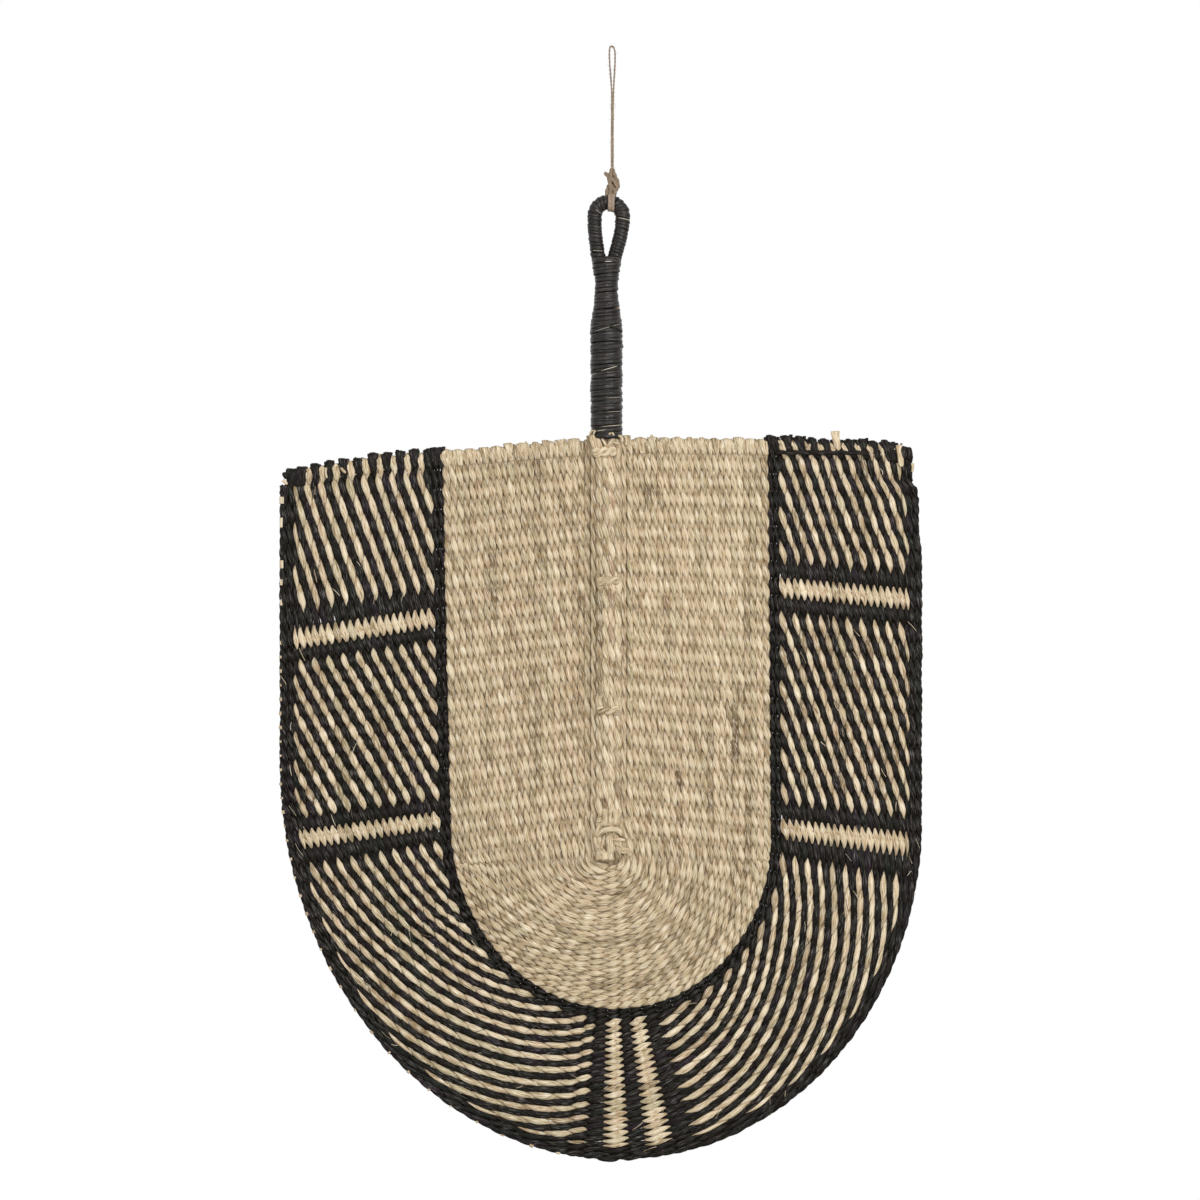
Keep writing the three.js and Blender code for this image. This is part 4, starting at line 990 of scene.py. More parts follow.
def add_row(skin, row, weave, rng):
    """Two strands that wind round each other along a row, flat in front of a stake and behind one."""
    path = row_path(row)
    crossed = stakes_on(path, row)
    last = len(crossed) - 1
    numbers = np.arange(last + 1)
    t = np.arange(-3, weave.samples * last + 4) / weave.samples
    known = np.concatenate([[2 * crossed[0] - crossed[1]], crossed, [2 * crossed[-1] - crossed[-2]]])
    distance = np.interp(t, np.arange(-1, last + 2), known)
    middle, outward, width = at(path, np.clip(distance, 0, path[3][-1]))
    stake = np.clip(np.round(t + 1e-6).astype(int), 0, last)
    raised = ridge_share(row, middle)
    layer = front_layer(middle[:, 0])
    centre_depth = raised * (layer - MID_Y)
    tilt = raised * (front_layer(np.abs(middle[:, 0]) + 0.1 * MM) - layer) / (0.1 * MM)
    swing = weave.swing + raised * (RIDGE_SWING * MM - weave.swing)
    drift = np.interp(t, numbers, rng.normal(0, ROW_DRIFT, last + 1))
    in_zone, striped = row > BORDER_ROWS[1], BORDER_ROWS[1] < row < RIM_ROWS[0]
    tip = weave.tip_share if in_zone else weave.panel_tip
    for e in (0, 1):
        cosine, wide_open, aside = stitches(t, e, tip)
        narrowing = weave.narrowing if in_zone else weave.panel_narrowing
        light = np.ones(len(t))
        if striped:
            light, hidden = (from_stakes(t, [n for n in LIGHT_BANDS if (n + e) % 2 == odd]) for odd in (0, 1))
            narrowing = np.where(hidden < BAND_REACH, weave.beside_narrowing, narrowing)
            cosine = cosine + BAND_LIFT * smooth((BAND_FOOT - light) / BAND_RISE) * (light > 0.05)
        uneven = np.interp(t, numbers, rng.normal(1, weave.unevenness, last + 1))
        lift = np.interp(t, numbers, rng.normal(0, STITCH_LIFT, last + 1)) * MM
        black = strand_colours(row, e, t[:-1] + 0.5 / weave.samples)
        across = (weave.slant_share * aside + drift) * width
        depth = centre_depth - (swing + lift) * cosine
        line = middle + outward * across[:, None] + BACK * depth[:, None]
        widest = np.full(len(t), weave.front_share)
        if in_zone:
            widest = np.where(np.append(black, black[-1]), weave.black_share, weave.pale_share)
        band = weave.band_share - weave.band_narrowing * np.clip((light - BAND_FLAT) / BAND_TAPER, 0, 1)
        share_shown = np.where(light < BAND_REACH, band, widest - narrowing * (1 - wide_open))
        spread = ZONE_SPREAD if striped else PANEL_SPREAD
        tone, tint = grass_tones(rng, distance - distance.min(), stake, spread)
        tone = tone + (ZONE_LIGHT if in_zone else PANEL_LIGHT) - STAIN_SHADE * stained(line) * (cosine > 0)
        # Painted shade: darker towards the middle between two stakes, where the strand dips behind its
        # neighbours
        tone = tone - (TIP_PAINTED_SHADE if striped else PANEL_TIP_PAINTED_SHADE) * (1 - wide_open)
        skin.blade(rng, line, outward + BACK * tilt[:, None], width * share_shown * uneven,
                   weave.half_depth * (1.15 - 0.15 * wide_open), tone, tint, black.astype(int))
    return path, crossed


def add_fold(skin, place, weave, rng, half_width, lean, black, reach, rise):
    """A strand's fold over the first stake, in blades of grass that lie side by side.

    Each blade goes up the front, half a circle over the edge and down the back. With a the angle from
    front to back, depth is the radius times sin(a) and the drop below the edge is the radius times
    1 - cos(a). The blades spread from their tips to the edge and fold over at uneven heights.
    """
    origin, down, outward = place
    angle = np.linspace(-90, 90, 9) * np.pi / 180
    for aside in np.linspace(-1, 1, 3 if half_width > 2 * MM else 2):
        radius = weave.swing + rng.uniform(0.3, 0.7) * MM
        tail = np.linspace(reach * MM, radius * 1.3, 5)
        drop = np.concatenate([tail, radius * (1 - np.cos(angle)), tail[::-1]])
        depth = np.concatenate([np.full(5, -radius), radius * np.sin(angle), np.full(5, radius)])
        openness = smooth(1 - drop / (reach * MM))
        depth = depth * (0.75 + 0.25 * smooth(openness * 2))
        slant = lean * MM * (1 - 2 * drop / (reach * MM))
        slant = slant + aside * half_width * 0.55 * (0.35 + 0.65 * openness)
        drop = drop - (rise + rng.normal(0, 0.25) - 0.5 * abs(aside)) * MM * smooth(openness * 1.5)
        line = origin + down * drop[:, None] + outward * slant[:, None] + BACK * depth[:, None]
        width = half_width * (0.36 + 0.28 * openness) * rng.normal(1, 0.1)
        skin.blade(rng, line, outward + BACK * rng.normal(0, 0.15), width, 0.3 * MM + 0.25 * MM * openness,
                   0.5 + rng.normal(0, 0.14), rng.normal(0.5, 0.15), int(black))


def add_fray(skin, place, rng, half_width, rise, black, number):
    """Cut ends of blades that stand up from a fold: ribbons that spread and end at odd heights."""
    origin, down, outward = place
    for aside in np.linspace(-0.9, 0.9, number):
        top = (rise + rng.uniform(0.2, 1.3)) * MM
        spread = aside * half_width + rng.normal(0, 0.15) * MM
        drop = np.linspace(3.4 * MM, -top, 5)
        grow = np.linspace(0.8, 1.02, 5)
        depth = rng.uniform(-1.8, 0.4) * MM + np.linspace(0, rng.normal(0, 0.5), 5) * MM
        line = origin + down * drop[:, None] + outward * (spread * grow)[:, None] + BACK * depth[:, None]
        turned = unit(outward + BACK * rng.normal(0, 0.5))
        skin.blade(rng, line, turned, rng.uniform(0.6, 1.2) * MM, rng.uniform(0.16, 0.3) * MM,
                   rng.normal(0.55, 0.2), rng.normal(0.5, 0.2), int(black), sides=6)


def edge_ends(path):
    """The two top ends of a row: place, way down the row, way outward, width, and 1 at the left, -1 right."""
    points, outward, width, _ = path
    for i, step in ((0, 1), (-1, -2)):
        yield points[i], unit(points[step] - points[i]), outward[i], width[i], 1 if i == 0 else -1


def add_course(skin, number, weave):
    """Two rows and their folds at the top edge."""
    rng = np.random.default_rng(weave.seed + number)
    rows = (2 * number, 2 * number + 1)
    made = {row: add_row(skin, row, weave, rng) for row in rows}
    for row in rows:
        path, crossed = made[row]
        in_panel = row < BORDER_ROWS[0]
        stakes = (0, len(crossed) - 1)
        for (origin, down, outward, width, side), stake in zip(edge_ends(path), stakes):
            black = bool(front_is_black(row, np.array([stake]))[0]) or (row, side) in BLACK_LOBES
            half = weave.fold_width if black else NATURAL_FOLD * MM
            if in_panel:
                half = PANEL_FOLDS[row % 2] * width
            lift = rng.uniform(1.2, 2.8) if black else rng.uniform(0.0, 1.0)
            if in_panel and row % 2 == 0:
                lift = rng.uniform(-1.2, -0.5)
            lean, reach = (0.7 if in_panel else 0.3) * side, FOLD_REACH
            if row == ROWS - 1:
                origin, half, lift, lean = origin - outward * 0.2 * width, RIM_FOLD * MM, 0.5, 0.0
            elif black:
                origin = origin - outward * 0.15 * width
            if side < 0 and BORDER_ROWS[1] <= row < RIM_ROWS[0]:
                lean, reach = RIGHT_LEAN, FOLD_REACH if black else SHORT_REACH
            place = (origin, down, outward)
            add_fold(skin, place, weave, rng, half, lean, black, reach, lift)
            if black:
                add_fray(skin, place, rng, 0.8 * half, lift - 0.6, True, int(rng.integers(1, 4)))
            elif rng.random() < 0.25:
                add_fray(skin, place, rng, 0.5 * half, lift, False, 1)


def front_layer(x):
    """Depth of the middle of the layer of strands over the stick, level with the panel at its sides."""
    beside = smooth((np.abs(x) / MM - RIDGE_SHOULDER) / (RIDGE_HALF - RIDGE_SHOULDER))
    return (1 - beside) * (ridge_face(x) - RIDGE_LAYER[0] * MM) + beside * (MID_Y - RIDGE_LAYER[1] * MM)


def ridge_share(row, points):
    """How far a row belongs to the ridge: wholly in the ridge's legs, and no more below the stick's foot."""
    if row >= 0:
        return np.zeros(len(points))
    return 1 - smooth(((BLADE_TOP - points[:, 2]) / MM - RIDGE_END[0]) / RIDGE_END[1])


def ridge_face(x):
    """Depth of the inner face of the strands that lie over the stick, at a distance from the axis."""
    over = STICK_FRONT - RIDGE_FACE[0] * MM
    flat = MID_Y - RIDGE_FACE[1] * MM
    start = RIDGE_FLAT * MM
    return over + (flat - over) * smooth((np.abs(x) - start) / (RIDGE_HALF * MM - start))


def add_ridge_row(skin, x, front, weave, rng):
    """Two strands of a straight row of the ridge, flattened into the layer in front of the stick or behind.

    The same winding as in the other rows, with a smaller swing about the middle of that layer. Across
    the row the strand follows the layer's own slope.
    """
    depth_at = front_layer if front else (lambda v: BACK_LAYER + 0 * v)
    down = np.linspace(FIRST_STAKE, LAST_STAKE, PANEL_STAKES) * MM
    pitch = down[1] - down[0]
    dip = RIDGE_DIP[front] * MM * math.sqrt(max(0.0, 1 - (x / (RIDGE_HALF * MM)) ** 2))
    last = PANEL_STAKES - 1 + dip / pitch
    t = np.arange(-3, int(weave.samples * last) + 4) / weave.samples
    drop = down[0] + t * pitch
    step = 0.05 * MM
    slope = float((depth_at(np.array(x + step)) - depth_at(np.array(x - step))) / (2 * step))
    wide = unit(np.array([1.0, slope, 0.0]))
    raised = np.array([wide[1], -wide[0], 0.0]) * (1 if front else -1)
    width = 2 * RIDGE_HALF * MM / RIDGE_ROWS * math.hypot(1, slope)
    middle = float(depth_at(np.array(x)))
    centre = np.stack([np.full_like(t, x), np.full_like(t, middle), BLADE_TOP - drop], -1)
    stake = np.clip(np.round(t + 1e-6).astype(int), 0, PANEL_STAKES)
    for e in (0, 1):
        cosine, wide_open, aside = stitches(t, e, weave.tip_share)
        uneven = np.interp(t, np.arange(PANEL_STAKES + 1), rng.normal(1, weave.unevenness, PANEL_STAKES + 1))
        across = -weave.slant_share * width * aside
        swing = (RIDGE_SWING if front else RIDGE_BACK_SWING) * MM * cosine
        line = centre + wide * across[:, None] + raised * swing[:, None]
        share_shown = weave.front_share - weave.narrowing * (1 - wide_open)
        tone, tint = grass_tones(rng, drop - drop.min(), stake)
        # The tone takes a painted shade towards the middle between two stakes
        skin.blade(rng, line, wide, width * share_shown * uneven, RIDGE_STRAND * MM,
                   tone - TIP_PAINTED_SHADE * (1 - wide_open), tint)


def add_ridge_folds(skin, front, rng):
    """The ridge's own ends at the top edge, tucked down beside the grip."""
    for x in np.linspace(-0.75, 0.75, 4) * RIDGE_HALF * MM:
        depth = float(ridge_face(np.array(x))) - 0.9 * MM if front else BACK_LAYER
        drop = np.linspace(7.0, -0.8, 9)
        curl = (1.2 if front else -1.2) * smooth((1.5 - drop) / 2.5)
        line = np.stack([x + 0.08 * drop * MM, depth + curl * MM, BLADE_TOP - drop * MM], -1)
        width = 0.7 * MM + 1.7 * MM * smooth(1 - drop / 7.0)
        skin.blade(rng, line, ACROSS, width, 0.75 * MM,
                   rng.normal(0.5, 0.12), rng.normal(0.5, 0.15), sides=10)


def add_plait(skin, start, end, radius, rng, tone):
    """Two strands wound one and a half times round each other: helices about a straight line."""
    start, end = np.array(start) * MM, np.array(end) * MM
    turns = 1.5
    t = np.linspace(0, 1, int(14 * turns) + 4)
    side = unit(np.cross(unit(end - start), BACK))
    reach = radius * MM * 0.75
    for e in (0, 1):
        phase = 2 * np.pi * (turns * t + e / 2)
        line = start + (end - start) * t[:, None]
        line = line + side * (reach * np.sin(phase))[:, None] - BACK * (0.6 * reach * np.cos(phase))[:, None]
        fade = np.sqrt(np.clip(1 - (2 * t - 1) ** 8, 0.1, 1))
        skin.blade(rng, line, side, radius * MM * 0.78 * fade, radius * MM * 0.62 * fade,
                   tone + rng.normal(0, 0.08), rng.normal(0.5, 0.12), sides=10)


def add_tuck(skin, points, half_width, half_depth, rng, tone=0.55, wide=ACROSS, blunt=False):
    """A short strand along given points in millimetres, thin at both ends or cut off at the first.

    Half the width is one value, or one for each end.
    """
    line = resample(np.array(points) * MM, 14)
    t = np.linspace(0, 1, 14)
    fade = 0.45 + 0.55 * np.sqrt(np.clip(1 - (2 * t - 1) ** 4, 0, 1))
    if blunt:
        fade = np.where(t < 0.5, 1.0, fade)
    first, last = (half_width, half_width) if isinstance(half_width, float) else half_width
    width = (first + (last - first) * t) * MM
    skin.blade(rng, line, wide, width * fade, half_depth * MM * fade,
               tone + rng.normal(0, 0.07), rng.normal(0.5, 0.12), sides=10)


def add_tucks(skin, tucks, base, rng, flat=1.0, **looks):
    """Tucks from a table, each with its points from a base, half its width and half its depth.

    The depths of the points are taken times flat.
    """
    for points, half_width, half_depth in tucks:
        add_tuck(skin, np.array(points) * (1.0, flat, 1.0) + base, half_width, half_depth, rng, **looks)


# Shapes of the eye and the grip


def limb_offset(z):
    """Half the distance between the cane's two limbs at a height, in millimetres."""
    t = (TAPER_Z - z) / (TAPER_Z - NECK_Z)
    closed = CANE_RADIUS + LIMB_GAP
    taper = closed + (EYE_ARC_RADIUS - closed) * (0.5 + 0.5 * np.cos(np.pi * np.clip(t, 0, 1)))
    lap = closed + (LAP_OFFSET - closed) * smooth((NECK_Z - z) / LAP_RUN)
    return np.where(z > NECK_Z, taper, lap)


def grip_lean(z):
    """How far the grip stands left of the eye at a height, in millimetres."""
    return -GRIP_LEAN * smooth((LEAN_START - z) / LEAN_RUN)


def round_grip(a, reach, z):
    """A line round the grip, from its angles, radii and heights in millimetres."""
    return np.stack([grip_lean(z) + reach * np.cos(a), reach * np.sin(a), z], -1) * MM


def grip_outer(z):
    """Outer radius of the wound grip at a height, in millimetres."""
    top = float(limb_offset(np.array(EYE_WINDING_END))) + CANE_RADIUS + WRAP_THICKNESS
    above = NECK_RADIUS + (top - NECK_RADIUS) * smooth((z - NECK_Z) / (EYE_WINDING_END - NECK_Z))
    below = NECK_RADIUS + (GRIP_RADIUS - NECK_RADIUS) * smooth((NECK_Z - z) / NECK_TO_SHOULDER)
    return np.where(z > NECK_Z, above, below)


def eye_line():
    """The eye's middle line in metres, up the left limb, over the arc and down the right limb."""
    z = np.linspace(EYE_WINDING_END - 2.5, ARC_Z, 60)
    left, right = (np.stack([grip_lean(z) + side * limb_offset(z), 0 * z, z], -1) for side in (-1, 1))
    a = np.pi * (1 - np.linspace(0, 1, 80)[1:-1])
    arc = np.stack([EYE_ARC_RADIUS * np.cos(a), 0 * a, ARC_Z + EYE_ARC_RADIUS * np.sin(a)], -1)
    line = np.concatenate([left, arc, right[::-1]]) * MM
    along = run(line)
    even = np.linspace(0, along[-1], 400)
    return follow(even, along, line), even


def slow_noise(rng, t, spacing, size):
    """Smooth random wandering: random values every spacing, joined by soft steps."""
    knots = rng.normal(0, size, int(t.max() / spacing) + 3)
    i = np.floor(t / spacing).astype(int)
    w = smooth(t / spacing - i)
    return knots[i] * (1 - w) + knots[i + 1] * w


def add_eye_winding(skin, winding, rng):
    """Blades of grass wound round the eye: helices about its middle line.

    A helix point is the middle line plus the limb's radius times outside cos(a) plus back sin(a), and a
    turn is wider on the outside of the bend by the radius times the curvature.
    """
    line, along = eye_line()
    total = along[-1]
    loops, blades = winding.eye_loops, winding.blades
    pitch = total / loops
    ahead = unit(np.gradient(line, axis=0))
    bend = np.gradient(np.arctan2(ahead[:, 2], ahead[:, 0]), along)
    for blade in range(blades):
        t = np.arange(0, loops + 1.2, 1 / 28)
        a = 2 * np.pi * (t - 0.6) + 0.4
        wander = slow_noise(rng, t, 0.5, 0.6) * winding.wander
        edge = 0.5 * pitch / blades
        s = np.clip((t - 0.6 + (blade + 0.5) / blades - 0.5) * pitch + wander, edge, total - edge)
        axis, away = unit(follow(s, along, ahead)), unit(follow(s, along, -np.cross(BACK, ahead)))
        curve = np.interp(s, along, np.abs(bend))
        radius = (LIMB_RADIUS + 0.2) * MM - winding.blade_depth + slow_noise(rng, t, 0.35, 0.14) * MM
        direction = away * np.cos(a)[:, None] + BACK * np.sin(a)[:, None]
        stretch = np.clip(1 + curve * radius * np.cos(a), 0.45, 2.0)
        tone = 0.5 + slow_noise(rng, t, 0.8, 0.2)
        skin.blade(rng, follow(s, along, line) + direction * radius[:, None], axis + direction * winding.lap,
                   0.66 * pitch / blades * stretch, winding.blade_depth * (1.0 + 0.5 * (stretch < 0.7)),
                   tone, 0.5 + slow_noise(rng, t, 2.0, 0.2), sides=10)


def add_grip_winding(skin, winding, rng):
    """Blades of grass wound round the grip, with a few that cross over the others at a slant."""
    top, bottom = EYE_WINDING_END + 0.6, BLADE_TOP / MM + 0.3
    loops, blades = winding.grip_loops, winding.blades
    pitch = (top - bottom) / (loops + 0.5)
    for blade in range(blades):
        t = np.arange(0, loops + 1.6, 1 / 40)
        a = -2 * np.pi * (t - 0.8) + 0.9
        wander = slow_noise(rng, t, 0.6, 0.7) * winding.wander / MM
        z = np.clip(top - pitch * (t - 0.8 + (blade + 0.5) / blades) + wander, bottom + 0.4, top)
        reach = grip_outer(z) - winding.blade_depth / MM + slow_noise(rng, t, 0.4, 0.24)
        half = (0.66 + 0.1 * slow_noise(rng, t, 0.7, 1.0)) * pitch / blades * MM
        lapped = UP - np.stack([np.cos(a), np.sin(a), 0 * a], -1) * winding.lap
        tone = 0.5 + slow_noise(rng, t, 0.8, 0.2)
        skin.blade(rng, round_grip(a, reach, z), lapped, half, winding.blade_depth,
                   tone, 0.5 + slow_noise(rng, t, 2.0, 0.2), sides=10)
    for right, left in GRIP_SLANTS:
        a = np.linspace(-1.0, 0.05, 24) * np.pi
        z = np.linspace(right, left, 24)[::-1]
        reach = grip_outer(z) + 0.25 - 1.2 * np.abs(np.linspace(-1, 1, 24)) ** 6
        skin.blade(rng, round_grip(a, reach, z), UP, 0.75 * MM, 0.4 * MM, 0.65, rng.normal(0.5, 0.2))


# Operators


class FAN_OT_stage(bpy.types.Operator):
    """Adds the camera at the fan's front, three lamps, an even sky and a plain pale floor"""

    bl_idname = "fan.stage"
    bl_label = "Stage"

    def execute(self, context):
        scene, stage = context.scene, context.scene.fan_stage
        lens = bpy.data.cameras.new("camera")
        lens.sensor_width = 36.0
        lens.lens = lens.sensor_width * stage.distance / stage.frame_width
        lens.clip_end = 20.0
        scene.camera = add_object("camera", lens)
        scene.camera.location = (stage.centre_x, -stage.distance, stage.centre_z)
        scene.camera.rotation_euler = (math.radians(90), 0.0, 0.0)
        for name, place, size, power in LAMPS:
            light = bpy.data.lights.new(name, "AREA")
            light.energy, light.size = getattr(stage, power), size
            lamp = add_object(name, light)
            lamp.location = place
            aim = np.array(LAMP_AIM) - np.array(place)
            pitch = math.atan2(aim[2], math.hypot(aim[0], aim[1]))
            lamp.rotation_euler = (math.radians(90) + pitch, 0.0, math.atan2(-aim[0], aim[1]))
        self.sky(scene, stage.sky)
        self.ground(tuple(stage.floor))
        scene.view_settings.view_transform = "Standard"
        return {"FINISHED"}

    def sky(self, scene, strength):
        """White where the camera, gloss or glass sees it, and an even soft light for everything else."""
        scene.world = bpy.data.worlds.new("studio")
        scene.world.use_nodes = True
        tree = scene.world.node_tree
        tree.nodes.clear()
        rays = add_node(tree, "ShaderNodeLightPath").outputs
        seen = rays["Is Camera Ray"]
        for ray in ("Is Glossy Ray", "Is Transmission Ray"):
            seen = add_math(tree, "MAXIMUM", seen, rays[ray])
        light, white = (
            add_node(tree, "ShaderNodeBackground", (("Color", (1, 1, 1)), ("Strength", glow)))
            for glow in (strength, 1.0)
        )
        shaders = ((1, light.outputs["Background"]), (2, white.outputs["Background"]))
        mix = add_node(tree, "ShaderNodeMixShader", (("Fac", seen), *shaders))
        add_node(tree, "ShaderNodeOutputWorld", (("Surface", mix.outputs["Shader"]),))

    def ground(self, pale):
        """A flat floor below the fan: a grid of points in two directions, with faint mottling."""
        side = 9
        x, y = np.meshgrid(np.linspace(*FLOOR_X, side), np.linspace(*FLOOR_Y, side))
        points = np.stack([x.ravel(), y.ravel(), np.full(x.size, FLOOR_Z)], -1)
        i = (np.arange(side - 1)[:, None] * side + np.arange(side - 1)).ravel()
        mesh = bpy.data.meshes.new("floor")
        mesh.from_pydata(points.tolist(), [], np.stack([i, i + 1, i + side + 1, i + side], -1).tolist())
        material, tree, shader = new_material("floor", 0.1)
        noise = add_noise(tree, add_node(tree, "ShaderNodeTexCoord").outputs["Object"], 6.0, 3.0)
        dress(tree, shader, add_ramp(tree, noise, ((0.3, tuple(0.97 * c for c in pale)), (0.7, pale))), 0.9)
        mesh.materials.append(material)
        add_object("floor", mesh)


class FAN_OT_twine(bpy.types.Operator):
    bl_idname = "fan.twine"
    bl_label = "Twine loop and knot"

    def execute(self, context):
        twine = context.scene.fan_twine
        rng = np.random.default_rng(SEEDS["twine"])
        jute = finish("laid_jute")
        path = resample(np.array(TWINE_ROUTE) * MM, 620)
        along = run(path)
        uneven = 1 + slow_noise(rng, along, 0.004, 0.06)
        loop = Skin()
        tone = 0.55 + slow_noise(rng, along, 0.006, 0.12)
        loop.tube(twisted(path, 0.5 * twine.diameter * uneven, twine.plies, twine.lay), tone, 0.5)
        cord = loop.piece("jute_loop", [jute], "twine", "jute_twine", "twine_loop")
        knot = self.knot(twine, rng, jute)
        fuzz = self.fuzz(path, twine, rng, jute)
        return {"FINISHED"}

    def knot(self, twine, rng, jute):
        """The doubled twine's strands over and under each other, and the cut tail's loose fibres."""
        skin = Skin()
        for points in KNOT_STRANDS:
            line = resample(np.array(points) * MM, 70)
            thick = 0.5 * twine.diameter * 2.4 * (1 - 0.25 * np.linspace(-1, 1, 70) ** 4)
            tone, tint = 0.45 + 0.12 * rng.normal(), rng.uniform(0.75, 1.0)
            skin.tube(twisted(line, thick, twine.plies, 1.6 * twine.lay), tone, tint)
        tail = np.array(KNOT_STRANDS[5][-1]) * MM
        for _ in range(14):
            tip = tail + (rng.normal(-0.4, 0.5, 3) + np.array([0.0, 0.0, 0.5])) * MM
            skin.tube(sweep(np.linspace(tail, tip, 4), ACROSS, 0.1 * MM, 0.1 * MM, sides=4), 0.8)
        return skin.piece("jute_knot", [jute], "twine", "jute_twine", "twine_knot")

    def fuzz(self, path, twine, rng, jute):
        """Loose fibres: each starts in the twine, leaves it at a slant and bends back."""
        skin = Skin()
        for i in rng.integers(4, len(path) - 5, twine.fuzz):
            ahead = unit(path[i + 1] - path[i])
            away = unit(np.cross(ahead, rng.normal(0, 1, 3)))
            size = rng.uniform(0.7, 2.1) * MM
            t = np.linspace(0, 1, 5)[:, None]
            line = path[i] + away * (0.35 * MM + size * 0.55 * np.sin(1.9 * t)) + ahead * size * t
            skin.tube(sweep(line, BACK, 0.035 * MM, 0.035 * MM, sides=4), rng.uniform(0.6, 1.0))
        return skin.piece("jute_fuzz", [jute], "twine", "jute_twine")


class FAN_OT_tie(bpy.types.Operator):
    """Winds the twine's turns round the top of the hanging eye"""

    bl_idname = "fan.tie"
    bl_label = "Twine tie"

    def execute(self, context):
        twine = context.scene.fan_twine
        rng = np.random.default_rng(SEEDS["tie"])
        skin = Skin()
        for place, spread, slant in TIE_TURNS:
            a = np.linspace(0.1, 2 * np.pi - 0.1, 60)
            height = ARC_Z + math.sqrt(EYE_ARC_RADIUS ** 2 - place ** 2)
            x = place + spread * (1 + np.cos(a)) / 2 + slant * np.sin(a)
            line = np.stack([x, -TIE_RADIUS * np.sin(a), height + TIE_RADIUS * np.cos(a)], -1) * MM
            skin.tube(twisted(line, 0.68 * MM, twine.plies, twine.lay, start=rng.random() * 6), 0.7)
        skin.piece("jute_tie", [finish("laid_jute")], "tie", "jute_twine", "twine_tie")
        return {"FINISHED"}


class FAN_OT_windings(bpy.types.Operator):
    """Winds blades of black grass round the hanging eye and the grip"""

    bl_idname = "fan.windings"
    bl_label = "Eye and grip windings"

    def execute(self, context):
        black = finish("wrapping_grass")
        for part, wind in (("eye", add_eye_winding), ("grip", add_grip_winding)):
            skin = Skin()
            wind(skin, context.scene.fan_winding, np.random.default_rng(SEEDS[part]))
            skin.piece(f"{part}_strip", [black], "fan", "wrapping_straw", f"{part}_winding")
        self.pale_fibres(np.random.default_rng(SEEDS["pale_fibres"]))
        return {"FINISHED"}

    def pale_fibres(self, rng):
        """A few thin natural fibres that lie round the grip and the eye."""
        skin = Skin()
        for start, end, low, high, half in GRIP_FIBRES:
            z = np.linspace(low, high, 16)
            line = round_grip(np.linspace(start, end, 16), grip_outer(z) + 0.35, z)
            width = half * MM * np.sin(np.linspace(0.3, 2.8, 16))
            skin.blade(rng, line, UP, width, 0.12 * MM, 0.75 + 0.1 * rng.normal(), 0.5, sides=6)
        middle, _ = eye_line()
        for place, start, end, half in EYE_FIBRES:
            i = int(place * len(middle))
            ahead = unit(middle[i + 3] - middle[i - 3])
            a = np.linspace(start, end, 12)[:, None]
            drift = np.linspace(-0.6, 0.6, 12)[:, None] * MM
            around = -np.cross(BACK, ahead) * np.cos(a) + BACK * np.sin(a)
            line = middle[i] + ahead * drift + around * 4.1 * MM
            skin.blade(rng, line, ahead, half * MM, 0.12 * MM, 0.75, 0.5, sides=6)
        skin.piece("pale_fibres", [finish("faded_grass")], "fan", "natural_straw")


class FAN_OT_courses(bpy.types.Operator):
    """Twines the courses of weft, two rows in each, with their folds at the top edge"""

    bl_idname = "fan.courses"
    bl_label = "Courses of weft"

    def execute(self, context):
        materials = [finish("natural_grass"), finish("black_grass")]
        slots = {BORDER_ROWS[0]: "black_straw", RIM_ROWS[0]: "black_straw"}
        for row in range(0, ROWS, 2):
            number = row // 2
            skin = Skin()
            add_course(skin, number, context.scene.fan_weave)
            slot = slots.get(row, "natural_straw" if row < BORDER_ROWS[0] else "striped_straw")
            skin.piece(f"weft_course_{number + 1:02d}", materials, "fan", slot, f"course_{number + 1:02d}")
        return {"FINISHED"}


class FAN_OT_ridge(bpy.types.Operator):
    """Twines the straight rows over the stick and behind it"""

    bl_idname = "fan.ridge"
    bl_label = "Ridge"

    def execute(self, context):
        weave = context.scene.fan_weave
        places = RIDGE_HALF * MM * (-1 + (2 * np.arange(RIDGE_ROWS) + 1) / RIDGE_ROWS)
        for face, front in (("front", True), ("back", False)):
            rng = np.random.default_rng(weave.seed + SEEDS["ridge"] + front)
            skin = Skin()
            for row in RIDGE_TURNS if front else ():
                add_row(skin, row, weave, rng)
            for x in places[2:-2] if front else places:
                add_ridge_row(skin, x, front, weave, rng)
            add_ridge_folds(skin, front, rng)
            straw = [finish("natural_grass")]
            skin.piece(f"ridge_rows_{face}", straw, "fan", "natural_straw", f"ridge_{face}")
        return {"FINISHED"}


